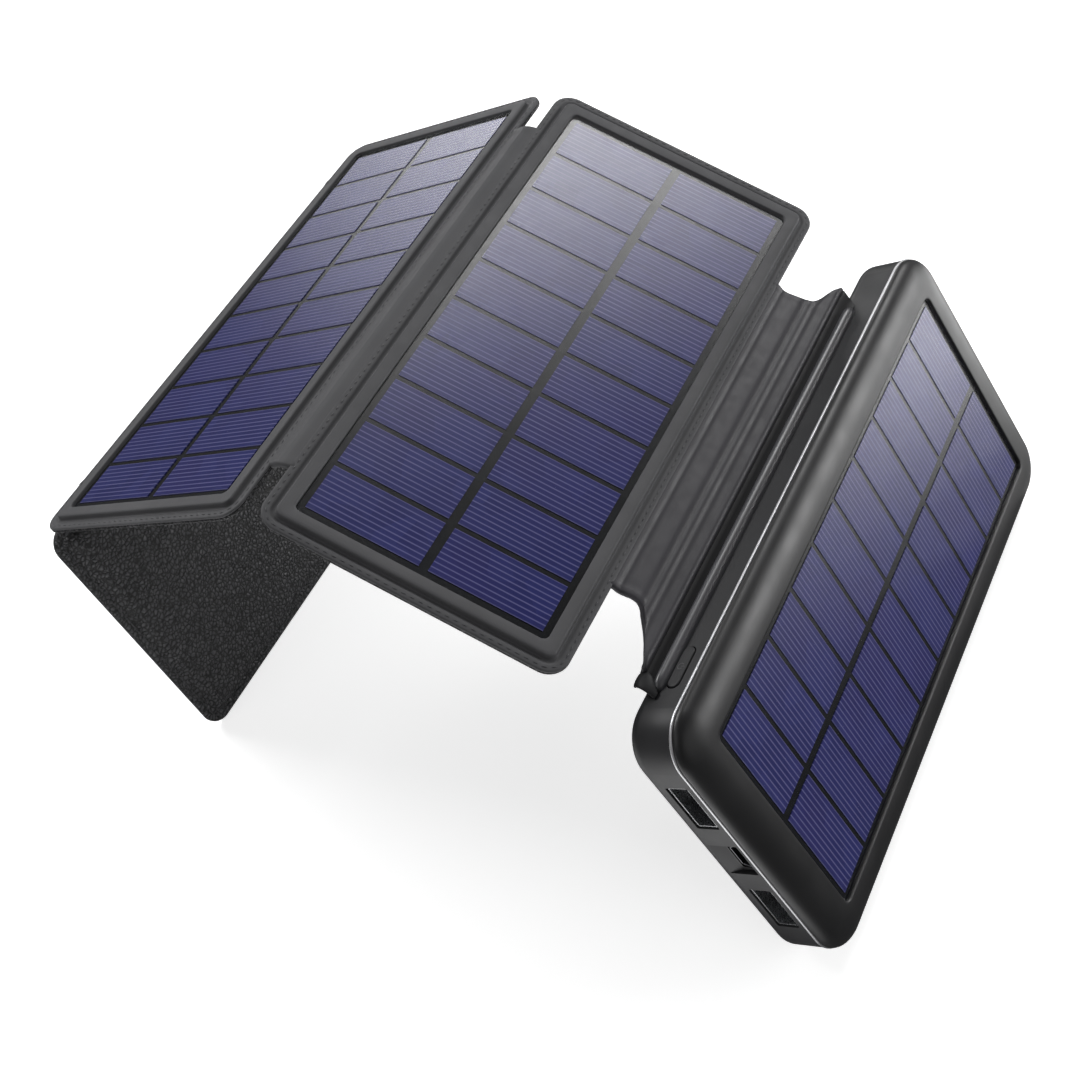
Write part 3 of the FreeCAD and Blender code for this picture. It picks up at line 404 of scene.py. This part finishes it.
# ------------------------------------------------------------------ mesh building
def build(name, points, faces, group, material, sharp=40.0):
    """A smooth shaded mesh object from points in a group's own millimetres."""
    matrix = FRAMES[group] if group else Matrix.Identity(4)
    mesh = bpy.data.meshes.new(name)
    work = bmesh.new()
    verts = [work.verts.new(matrix @ Vector(point)) for point in points]
    for face in faces:
        work.faces.new([verts[index] for index in face])
    bmesh.ops.recalc_face_normals(work, faces=work.faces)
    for face in work.faces:
        face.smooth = True
    for edge in work.edges:
        if len(edge.link_faces) == 2 and edge.calc_face_angle(0.0) > math.radians(sharp):
            edge.smooth = False
    work.to_mesh(mesh)
    work.free()
    mesh.materials.append(material)
    piece = bpy.data.objects.new(name, mesh)
    bpy.context.scene.collection.objects.link(piece)
    return piece


def rounded_ring(width, length, radius, height, corner_steps=10, side_steps=1):
    """Points round a rectangle with rounded corners; the steps say into how many parts each goes."""
    half_w, half_l = width / 2 - radius, length / 2 - radius
    corners = ((half_w, half_l, 0), (-half_w, half_l, 90), (-half_w, -half_l, 180), (half_w, -half_l, 270))
    ring = []
    for x, y, start in corners:
        for step in range(corner_steps + 1):
            angle = math.radians(start + 90 * step / corner_steps)
            ring.append((x + radius * math.cos(angle), y + radius * math.sin(angle), height))
    full = []
    for index, point in enumerate(ring):
        full.append(point)
        if (index + 1) % (corner_steps + 1) == 0:
            after = ring[(index + 1) % len(ring)]
            for step in range(1, side_steps):
                share = step / side_steps
                full.append(tuple(a + (b - a) * share for a, b in zip(point, after)))
    return full


def loft(rings, closed, cap_first=False, cap_last=False):
    """Points and faces of a skin over rings that all have the same number of points."""
    count = len(rings[0])
    points = [point for ring in rings for point in ring]
    faces = []
    for level in range(len(rings) if closed else len(rings) - 1):
        low, high = level * count, (level + 1) % len(rings) * count
        for index in range(count):
            after = (index + 1) % count
            faces.append((low + index, low + after, high + after, high + index))
    if cap_first:
        faces.append(tuple(range(count)))
    if cap_last:
        faces.append(tuple(range((len(rings) - 1) * count, len(rings) * count)))
    return points, faces


def inset_rings(width, length, radius, section, least_radius=1.2, **steps):
    """Rings of a rounded rectangle for a section given as (inset, height) pairs."""
    rings = []
    for inset, height in section:
        corner = max(radius - inset, least_radius)
        rings.append(rounded_ring(width - 2 * inset, length - 2 * inset, corner, height, **steps))
    return rings


# Each stitch is a bead: (place along it, from its middle, as a share of its length; thickness there)
STITCH_PROFILE = ((-0.5, 0.35), (-0.32, 0.9), (0.0, 1.0), (0.32, 0.9), (0.5, 0.35))
STITCH_SIDES = 6


def stitch_row(name, path, body, pitch, length, thick=0.17, lift=0.0):
    """A row of small rounded stitches along a closed path of points in a body's own millimetres."""
    points, faces = [], []
    last = len(STITCH_PROFILE) - 1
    spans = [(Vector(a), Vector(b)) for a, b in zip(path, path[1:] + path[:1])]
    travelled, due = 0.0, pitch / 2
    for start, end in spans:
        span = (end - start).length
        if span < 1e-6:
            continue
        along = (end - start) / span
        over = along.cross(Vector((0, 0, 1)))
        while due <= travelled + span:
            centre = start + along * (due - travelled) + Vector((0, 0, lift))
            first = len(points)
            for share, wide in STITCH_PROFILE:
                dip = -abs(share) * thick * 1.5
                for side in range(STITCH_SIDES):
                    angle = 2 * math.pi * side / STITCH_SIDES
                    offset = over * math.cos(angle) * thick * wide
                    rise = Vector((0, 0, math.sin(angle) * thick * wide + dip))
                    points.append(tuple(centre + along * share * length + offset + rise))
            for level in range(last):
                low, high = first + level * STITCH_SIDES, first + (level + 1) * STITCH_SIDES
                for side in range(STITCH_SIDES):
                    after = (side + 1) % STITCH_SIDES
                    faces.append((low + side, low + after, high + after, high + side))
            faces.append(tuple(first + side for side in range(STITCH_SIDES)))
            faces.append(tuple(first + last * STITCH_SIDES + side for side in range(STITCH_SIDES)))
            due += pitch
        travelled += span
    piece = build(name, points, faces, body, THREAD)
    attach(piece, body)


# ------------------------------------------------------------------ power bank
LID_FOOT = -4.06         # lower edge of the lid
TRIM_TOP, TRIM_FOOT = -4.1, -4.8
SHOULDER_FOOT = -3.8     # where the lid's wall starts to round over
SHOULDER_INSET = 8.0     # where the round has reached the flat top
OUTLINE_TURN = 7.0       # inset from which the lid's outline changes towards the window's


def ease(share):
    """Steps from 0 to 1 that are shorter at both ends, half way between even and smooth ones."""
    return (share * share * (3 - 2 * share) + share) / 2


def quarter_round(inset_from, inset_to, low, high, steps):
    """Section of a quarter ellipse that rises from a vertical wall to a flat top."""
    section = []
    for step in range(steps + 1):
        angle = math.pi / 2 * step / steps
        inset = inset_to + (inset_from - inset_to) * math.cos(angle)
        section.append((inset, low + (high - low) * math.sin(angle)))
    return section


def make_bank_lid():
    """Front shell with its wide elliptical shoulder."""
    window = (BANK_W - WINDOW_W) / 2
    section = [(2.0, LID_FOOT), (0.35, LID_FOOT), (0.12, LID_FOOT + 0.06), (0.05, LID_FOOT + 0.18)]
    section += quarter_round(0.05, SHOULDER_INSET, SHOULDER_FOOT, 0.0, 16)[1:]
    section += [(8.6, 0.0), (window - 0.35, 0.0), (window - 0.1, -0.08), (window, -0.3), (window, -1.6)]
    rings = []
    for inset, height in section:
        length = BANK_L - 2 * inset
        if inset > OUTLINE_TURN:
            share = (inset - OUTLINE_TURN) / (window - OUTLINE_TURN)
            turn_length = BANK_L - 2 * OUTLINE_TURN
            length = turn_length + (WINDOW_L - turn_length) * min(share, 1.0)
        corner = max(BANK_R - inset * 0.8, WINDOW_R)
        rings.append(rounded_ring(BANK_W - 2 * inset, length, corner, height, 14))
    points, faces = loft(rings, closed=True)
    lid = build("bank_lid", points, faces, "power_bank", BANK_PLASTIC, 50.0)
    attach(lid, "power_bank")
    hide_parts("front_shell")


def make_power_mark():
    """Small generic power mark on the button: an open ring with a bar."""
    points, faces = [], []
    top_x, foot_x = BANK_WALL - 0.34, BANK_WALL - 0.39
    centre_y, centre_z = -57.4, -8.4
    radius = 0.75

    def ribbon(path, half=0.09):
        """A flat line of even width along a path on the button's face."""
        first = len(points)
        for index, (y, z) in enumerate(path):
            before = Vector(path[max(index - 1, 0)])
            after = Vector(path[min(index + 1, len(path) - 1)])
            way = (after - before).normalized()
            side = Vector((-way.y, way.x)) * half
            for sign, x in ((1, top_x), (1, foot_x), (-1, foot_x), (-1, top_x)):
                points.append((x, centre_y + y + side.x * sign, centre_z + z + side.y * sign))
        for index in range(len(path) - 1):
            for corner in range(4):
                after = (corner + 1) % 4
                low, high = first + index * 4, first + (index + 1) * 4
                faces.append((low + corner, low + after, high + after, high + corner))
        faces.append(tuple(first + corner for corner in range(4)))
        faces.append(tuple(first + (len(path) - 1) * 4 + corner for corner in range(4)))

    turns = [math.radians(degrees) for degrees in range(40, 321, 20)]
    ribbon([(radius * math.sin(turn), radius * math.cos(turn)) for turn in turns])
    ribbon([(0.0, 0.15), (0.0, 0.95)])
    mark = build("power_mark", points, faces, "power_bank", THREAD)
    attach(mark, "button")


def make_trim_line():
    """Thin bright line between the two shells."""
    top = [(1.6, TRIM_TOP), (0.15, TRIM_TOP), (-0.05, TRIM_TOP - 0.06), (-0.13, TRIM_TOP - 0.2)]
    section = top + [(inset, TRIM_TOP + TRIM_FOOT - height) for inset, height in reversed(top)]
    rings = inset_rings(BANK_W, BANK_L, BANK_R, section, corner_steps=16)
    points, faces = loft(rings, closed=True)
    line = build("trim_line", points, faces, "power_bank", SILVER, 50.0)
    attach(line, "power_bank")
    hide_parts("trim_ring")


def make_clamp_bar():
    """Half round bar that clamps the leather flange to the side wall, with tapered ends."""
    near, far, level = -64.1, 54.6, -11.35
    depth, half_height, sunk = 2.15, 1.4, 0.2
    taper, blunt = 3.2, 0.06
    steps, arc_steps = 80, 16
    rings = []
    for step in range(steps + 1):
        y = near + (far - near) * ease(step / steps)
        in_taper = 1 - min(min(y - near, far - y) / taper, 1.0)
        scale = math.sqrt(max(0.0, 1 - in_taper ** 2)) * (1 - blunt) + blunt
        rise = half_height * scale
        ring = []
        for arc_step in range(arc_steps + 1):
            angle = math.pi * arc_step / arc_steps
            out = depth * math.sin(angle) * scale
            ring.append((BANK_WALL - out, y, level + rise * math.cos(angle)))
        ring.append((BANK_WALL + sunk, y, level - rise))
        ring.append((BANK_WALL + sunk, y, level + rise))
        rings.append(ring)
    points, faces = loft(rings, closed=False, cap_first=True, cap_last=True)
    bar = build("clamp_bar", points, faces, "power_bank", GLOSS_PLASTIC, 60.0)
    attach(bar, "power_bank")
    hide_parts("hinge_bar")


make_bank_lid()
make_trim_line()
make_clamp_bar()
make_power_mark()


# ------------------------------------------------------------------ leather panels
# Sections inwards from a panel's edge, as (inset, height). In front they are the rim, a sewn groove
# and the raised bezel of the window; behind, the rim, a groove and the rise to the padded middle.
FRONT_SECTION = [
    (0.9, -0.72),
    (0.25, -0.72),
    (0.02, -0.55),
    (0.0, -0.35),
    (0.12, -0.1),
    (0.45, 0.0),
    (1.45, 0.03),
    (1.9, -0.02),
    (2.2, -0.22),
    (2.55, -0.34),
    (2.85, -0.26),
    (3.0, 0.05),
    (3.08, 0.6),
    (3.2, 0.88),
    (3.45, 1.0),
    (4.1, 1.02),
    (5.75, 1.0),
    (5.98, 0.95),
    (6.1, 0.8),
    (6.1, -0.65),
]
BACK_SECTION = [
    (0.9, -0.68),
    (0.25, -0.68),
    (0.02, -0.85),
    (0.0, -1.1),
    (0.12, -1.42),
    (0.5, -1.6),
    (1.3, -1.66),
    (2.2, -1.62),
    (2.55, -1.48),
    (2.95, -1.62),
    (3.4, -1.95),
    (4.2, -2.4),
    (5.3, -2.68),
    (7.0, -2.8),
]
BACK_MIDDLE = (10.0, 14.0, 18.0, 22.0, 26.0, 30.0, 33.0)    # insets of the rings inside the edge
BACK_LEVEL = -2.82


def stitch_path(inset, height):
    """Closed path round a panel, at an inset from its edge."""
    return rounded_ring(PANEL_W - 2 * inset, PANEL_L - 2 * inset, PANEL_R - inset, height, 8)


def soften(points, amplitude, scale, seed):
    """Points raised or lowered by smooth noise, so that the leather isn't quite even."""
    soft = []
    for x, y, z in points:
        value = noise.noise(Vector((x / scale + seed, y / scale, seed * 0.7)))
        soft.append((x, y, z + amplitude * value))
    return soft


def make_panel(prefix, seed):
    """Front frame, leather back and stitching of one panel."""
    body = prefix + "_panel"
    rings = inset_rings(PANEL_W, PANEL_L, PANEL_R, FRONT_SECTION, WINDOW_R, corner_steps=10)
    points, faces = loft(rings, closed=True)
    front = build(prefix + "_frame", points, faces, body, LINING, 55.0)
    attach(front, body)
    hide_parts(prefix + "_front_lining")

    section = BACK_SECTION + [(inset, BACK_LEVEL) for inset in BACK_MIDDLE]
    rings = inset_rings(PANEL_W, PANEL_L, PANEL_R, section, 1.2, corner_steps=10, side_steps=24)
    points, faces = loft(rings, closed=False, cap_first=True, cap_last=True)
    # the edge stays as it is: a seam holds it, and only the middle is uneven
    edge_count = len(rings[0]) * len(BACK_SECTION)
    points = points[:edge_count] + soften(points[edge_count:], amplitude=0.12, scale=14.0, seed=seed)
    back = build(prefix + "_back", points, faces, body, LEATHER, 60.0)
    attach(back, body)
    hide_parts(prefix + "_back_cover")

    path = stitch_path(1.0, 0.06)
    stitch_row(prefix + "_front_stitches", path, body, pitch=2.0, length=1.3, thick=0.13)
    path = stitch_path(1.7, -1.68)
    stitch_row(prefix + "_back_stitches", path, body, pitch=2.6, length=1.7, lift=-0.02)


for seed, prefix in enumerate(PANELS):
    make_panel(prefix, 3.1 + seed * 7.3)


# ------------------------------------------------------------------ leather hinge strips
def smooth_path(knots, steps=6):
    """Catmull-Rom curve through knots in the row frame's xz plane."""
    padded = [knots[0] * 2 - knots[1]] + knots + [knots[-1] * 2 - knots[-2]]
    path = []
    for a, b, c, d in zip(padded, padded[1:], padded[2:], padded[3:]):
        for step in range(steps):
            t = step / steps
            square_part = (2 * a - 5 * b + 4 * c - d) * t * t
            cube_part = (3 * b - a - 3 * c + d) * t ** 3
            path.append(0.5 * (2 * b + (c - a) * t + square_part + cube_part))
    path.append(knots[-1])
    return path


HEM = 1.6                # width of the turned and sewn edge at a strip's ends
HEM_RIDGE = 0.14
SEAM_DEPTH, SEAM_HALF_WIDTH = 0.10, 0.3
STRIP_ROWS = 44
NARROW_REACH = 59.2      # how far the narrow strips go to the near and the far side


def make_half_strip(name, strip, knots, reach, thick, material):
    """Soft leather from inside a panel's edge to a strip's middle line, bent over one fold.

    knots are (group, x, z) points on the upper surface; reach(x) gives how far the leather goes
    to the near and the far side for a place across the strip.
    """
    world = [FRAMES[group] @ Vector((x, 0, z)) for group, x, z in knots]
    path = smooth_path([Vector((point.x, 0, point.z)) for point in world])
    inverse = FRAMES[strip].inverted()
    outward = solar_normal(FRAMES[strip].col[0].xyz)
    half = thick / 2
    rings = []
    for index, point in enumerate(path):
        before, after = path[max(index - 1, 0)], path[min(index + 1, len(path) - 1)]
        way = (after - before).normalized()
        normal = Vector((-way.z, 0, way.x))
        if normal.dot(outward) < 0:
            normal.negate()
        near, far = reach((inverse @ point).x)
        ring = []
        for side in (1, -1):
            start, end = (far - half, -near + half) if side > 0 else (-near + half, far - half)
            for step in range(STRIP_ROWS + 1):
                ring.append((start + (end - start) * ease(step / STRIP_ROWS), half * side))
            for step in range(1, 6):
                angle = math.radians(90 - 30 * step)
                ring.append((end - side * half * math.cos(angle), side * half * math.sin(angle)))
        placed = []
        for y, z in ring:
            edge = min(y + near, far - y)
            ridge = HEM_RIDGE * math.exp(-((edge - HEM * 0.5) / (HEM * 0.35)) ** 2)
            seam = SEAM_DEPTH * math.exp(-((edge - HEM) / SEAM_HALF_WIDTH) ** 2)
            swell = ridge - seam if z > 0 else 0.0
            lift = (z - half + swell) * MM
            placed.append((point.x + normal.x * lift, y * MM, point.z + normal.z * lift))
        rings.append(placed)
    points, faces = loft(rings, closed=False, cap_first=True, cap_last=True)
    return build(name, points, faces, None, material, 60.0)


def smooth_curve(knots):
    """Smooth curve through (position, near, far) knots, level beyond both ends."""
    def curve(position):
        if position <= knots[0][0]:
            return knots[0][1:]
        for index in range(len(knots) - 1):
            a, b = knots[index], knots[index + 1]
            if position <= b[0]:
                before = knots[max(index - 1, 0)]
                after = knots[min(index + 2, len(knots) - 1)]
                t = (position - a[0]) / (b[0] - a[0])
                values = []
                for k in (1, 2):
                    slope_a = (b[k] - before[k]) / max(b[0] - before[0], 1e-6) * (b[0] - a[0])
                    slope_b = (after[k] - a[k]) / max(after[0] - a[0], 1e-6) * (b[0] - a[0])
                    values.append(
                        a[k] * (2 * t ** 3 - 3 * t * t + 1)
                        + slope_a * (t ** 3 - 2 * t * t + t)
                        + b[k] * (3 * t * t - 2 * t ** 3)
                        + slope_b * (t ** 3 - t * t)
                    )
                return tuple(values)
        return knots[-1][1:]
    return curve


EDGE = PANEL_W / 2


def bend_over(piece, nodes):
    """Bake a half strip's placement into its mesh, and hide the CAD nodes that it replaces."""
    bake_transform(piece)
    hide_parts(*nodes)


def make_narrow_strip(prefix, strip, right_panel, left_panel, chord):
    """Both halves of a narrow strip between two panels."""
    reach = smooth_curve([(0.0, NARROW_REACH, NARROW_REACH)])
    for side, panel in ((1, right_panel), (-1, left_panel)):
        edge = -EDGE * side
        knots = [
            (panel, edge + 0.9 * side, -0.12),
            (panel, edge + 0.3 * side, -0.06),
            (strip, (chord / 2 - 0.4) * side, 0.86),
            (strip, (chord / 2 - 1.4) * side, 1.15),
            (strip, 0.0, 1.3),
        ]
        name = "%s_half_%s" % (prefix, "right" if side > 0 else "left")
        piece = make_half_strip(name, strip, knots, reach, 1.5, LINING)
        nodes = (prefix + "_leather",) if side > 0 else (prefix + "_lining", prefix + "_ribbon")
        bend_over(piece, nodes)


make_narrow_strip("first_strip", "inner_fold", "first_panel", "second_panel", 5.1)
make_narrow_strip("second_strip", "outer_fold", "second_panel", "third_panel", 4.6)


def make_spine():
    """The wide spine: two halves with soft waves."""
    reach = smooth_curve([
        (-9.0, 48.8, 48.6),
        (-3.5, 48.5, 47.9),
        (-1.0, 49.2, 48.0),
        (0.8, 50.4, 49.0),
        (2.2, 52.1, 50.7),
        (3.2, 54.2, 52.8),
        (4.4, 57.4, 55.9),
        (5.4, 59.6, 57.5),
        (6.6, 60.9, 58.8),
        (9.0, 61.6, 59.2),
    ])
    knots = [
        ("first_panel", EDGE - 0.9, -0.16),
        ("first_panel", EDGE - 0.3, -0.10),
        ("spine_fold", -6.9, 0.50),
        ("spine_fold", -5.8, 0.22),
        ("spine_fold", -4.6, 0.46),
        ("spine_fold", -3.1, 1.12),
        ("spine_fold", -1.6, 1.66),
        ("spine_fold", -0.6, 1.74),
        ("spine_fold", 0.2, 1.62),
    ]
    left = make_half_strip("spine_half_left", "spine_fold", knots, reach, 1.4, HINGE_LEATHER)
    bend_over(left, ("spine_leather",))

    knots = [
        ("spine_fold", 0.2, 1.62),
        ("spine_fold", 0.9, 1.28),
        ("spine_fold", 1.7, 0.80),
        ("spine_fold", 2.6, 0.52),
        ("spine_fold", 3.5, 0.60),
        ("spine_fold", 4.6, 1.02),
        ("spine_fold", 5.6, 1.32),
        ("spine_fold", 6.4, 1.15),
        ("spine_fold", 6.95, 0.55),
        ("power_bank", BANK_WALL - 2.4, FLANGE_LEVEL - 0.5),
        ("power_bank", BANK_WALL - 1.9, FLANGE_LEVEL - 1.0),
    ]
    right = make_half_strip("spine_half_right", "spine_fold", knots, reach, 1.2, HINGE_LEATHER)
    bend_over(right, ("spine_lining", "spine_ribbon"))


def make_spine_flange():
    """Leather edge of the spine that the bank's bar holds, cut off at a slant at its far end."""
    section = [
        (0.1, -11.2),
        (-0.45, -12.1),
        (-1.25, -12.85),
        (-2.0, -13.3),
        (-2.6, -13.75),
        (-2.85, -14.1),
        (-2.6, -14.45),
        (-1.4, -15.0),
        (0.6, -15.1),
    ]
    near, far, slant_start, slant_level = -63.0, 59.0, 50.0, -13.9
    rows = 60
    rings = []
    for step in range(rows + 1):
        y = near + (far - near) * step / rows
        slant = max(0.0, (y - slant_start) / (far - slant_start))
        rings.append([(BANK_WALL + x, y - (z - slant_level) * slant, z) for x, z in section])
    points, faces = loft(rings, closed=False, cap_first=True, cap_last=True)
    flange = build("spine_flange", points, faces, "power_bank", DARK_LEATHER, 50.0)
    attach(flange, "power_bank")
    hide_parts("spine_tab")


def make_spine_lobe():
    """Small rounded tongue of leather at the flange's near end."""
    path = [(-0.3, -11.0), (-1.3, -11.8), (-2.1, -12.8), (-2.65, -13.9), (-2.7, -15.0), (-2.2, -15.8)]
    far_start, far_bulge = -64.2, 3.6
    near_start, near_shift = -65.9, 1.4
    thick, sides = 1.1, 24
    rings = []
    for index, (x, z) in enumerate(path):
        share = index / (len(path) - 1)
        far_y = far_start + far_bulge * math.sin(math.pi * min(share * 0.75, 0.5))
        near_y = near_start + near_shift * share
        centre, half_width = (far_y + near_y) / 2, (far_y - near_y) / 2
        after = path[min(index + 1, len(path) - 1)]
        before = path[max(index - 1, 0)]
        way = Vector((after[0] - before[0], after[1] - before[1])).normalized()
        out = Vector((way.y, -way.x))
        if out.x > 0:
            out.negate()
        ring = []
        for step in range(sides):
            angle = 2 * math.pi * step / sides
            rise = math.copysign(thick / 2 * abs(math.sin(angle)) ** 0.7, math.sin(angle))
            y = centre + half_width * math.cos(angle)
            ring.append((BANK_WALL + x + out.x * rise, y, z + out.y * rise))
        rings.append(ring)
    points, faces = loft(rings, closed=False, cap_first=True, cap_last=True)
    lobe = build("spine_lobe", points, faces, "power_bank", DARK_LEATHER, 70.0)
    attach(lobe, "power_bank")


make_spine()
make_spine_flange()
make_spine_lobe()

# ------------------------------------------------------------------ floor, light and camera, in metres
FLOOR_HALF = 4.0
SQUARE = ((-1, -1), (1, -1), (1, 1), (-1, 1))
floor_mesh = bpy.data.meshes.new("floor")
floor_mesh.from_pydata([(x * FLOOR_HALF, y * FLOOR_HALF, 0) for x, y in SQUARE], [], [(0, 1, 2, 3)])
floor_mesh.materials.append(make_floor())
floor = bpy.data.objects.new("floor", floor_mesh)
bpy.context.scene.collection.objects.link(floor)
floor.visible_glossy = False


OBJECT_MIDDLE = (0.0, 0.0, 0.05)
LAMP_DISTANCE = 1.3
SHEET_DROP, SHEET_LIFT = 0.5, 0.002    # a sheet lies just over the floor and faces up to its centre
DOWN = (0.0, 0.0, -1.0)
ALONG_Y = (0.0, 1.0, 0.0)


def softbox(name, direction, distance, size, radiance, centre=OBJECT_MIDDLE, across=None, shift=0.0):
    """A rectangular light that faces a centre from a direction.

    across is the way that its width runs, level if none is given; shift moves it along that way.
    """
    away = Vector(direction).normalized()
    side = Vector(across) if across else Vector((0.0, 0.0, 1.0)).cross(away)
    side = (side - away * side.dot(away)).normalized()
    data = bpy.data.lights.new(name, "AREA")
    data.shape = "RECTANGLE"
    data.size, data.size_y = size
    data.energy = radiance * math.pi * size[0] * size[1]
    light = bpy.data.objects.new(name, data)
    light.location = Vector(centre) + away * distance + side * shift
    light.rotation_euler = Matrix((side, away.cross(side), away)).transposed().to_euler()
    light.visible_camera = False
    bpy.context.scene.collection.objects.link(light)


def graded_softbox(name, direction, distance, size, radiances, centre, across=None):
    """A softbox whose glow changes from strip to strip across its width."""
    strip = size[0] / len(radiances)
    for index, radiance in enumerate(radiances):
        shift = (index + 0.5) * strip - size[0] / 2
        strip_name = f"{name}_{index}"
        softbox(strip_name, direction, distance, (strip, size[1]), radiance, centre, across, shift)


graded_softbox(
    "back_softbox",
    direction=(0.053, 0.703, 0.71),
    distance=LAMP_DISTANCE,
    size=(0.48, 0.7),
    radiances=(0.1, 1.2, 3.4, 6.8, 10.2, 12.5, 13.0, 12.0),
    centre=(0.005, 0.0, 0.09),
    across=(-0.787, 0.467, -0.405),
)
graded_softbox(
    "horizon_panel",
    direction=(-0.707, 0.707, 0.03),
    distance=LAMP_DISTANCE,
    size=(0.70, 0.30),
    radiances=(4.0, 4.0, 4.0, 3.8, 3.3, 2.5, 1.7, 1.1, 0.5, 0.1),
    centre=(-0.065, 0.0, 0.09),
)
graded_softbox(
    "floor_sheet",
    direction=DOWN,
    distance=SHEET_DROP,
    size=(0.32, 0.22),
    radiances=(0.05, 0.4, 1.1, 2.2, 3.5, 5.0, 5.6, 5.6),
    centre=(0.21, 0.19, SHEET_DROP + SHEET_LIFT),
    across=ALONG_Y,
)
softbox(
    "front_sheet",
    direction=DOWN,
    distance=SHEET_DROP,
    size=(0.12, 0.18),
    radiance=1.5,
    centre=(0.03, -0.15, SHEET_DROP + SHEET_LIFT),
    across=ALONG_Y,
)
softbox("left_softbox", (-0.80, 0.12, 0.60), LAMP_DISTANCE, size=(0.7, 0.5), radiance=9.0)
softbox("shoulder_panel", (0.76, 0.62, 0.17), LAMP_DISTANCE, size=(0.75, 0.36), radiance=10.5)
softbox("right_fill", (0.95, -0.25, 0.55), LAMP_DISTANCE, size=(0.8, 0.8), radiance=0.6)
softbox("front_fill", (-0.35, -0.85, 0.75), 1.4, size=(1.0, 0.8), radiance=0.8)

WORLD_GLOW = 0.09
world = bpy.data.worlds.new("studio")
world.use_nodes = True
background = world.node_tree.nodes["Background"]
background.inputs["Color"].default_value = (1.0, 1.0, 1.0, 1.0)
background.inputs["Strength"].default_value = WORLD_GLOW
bpy.context.scene.world = world
bpy.context.scene.view_settings.view_transform = "Standard"

# Main view, from the near right and above; the third direction follows from the other two.
CAMERA_PLACE = (0.14979, -0.22947, 0.34714)
VIEW_RIGHT = Vector((0.89155, 0.43305, -0.13269))
VIEW_UP = Vector((-0.25952, 0.72854, 0.63393))
VIEW_BACK = VIEW_RIGHT.cross(VIEW_UP)
camera_data = bpy.data.cameras.new("camera")
camera_data.lens = 55.04
camera_data.sensor_width = 36.0
camera_data.clip_start = 0.01
camera = bpy.data.objects.new("camera", camera_data)
camera.location = CAMERA_PLACE
camera.rotation_euler = Matrix((VIEW_RIGHT, VIEW_UP, VIEW_BACK)).transposed().to_euler()
bpy.context.scene.collection.objects.link(camera)
bpy.context.scene.camera = camera
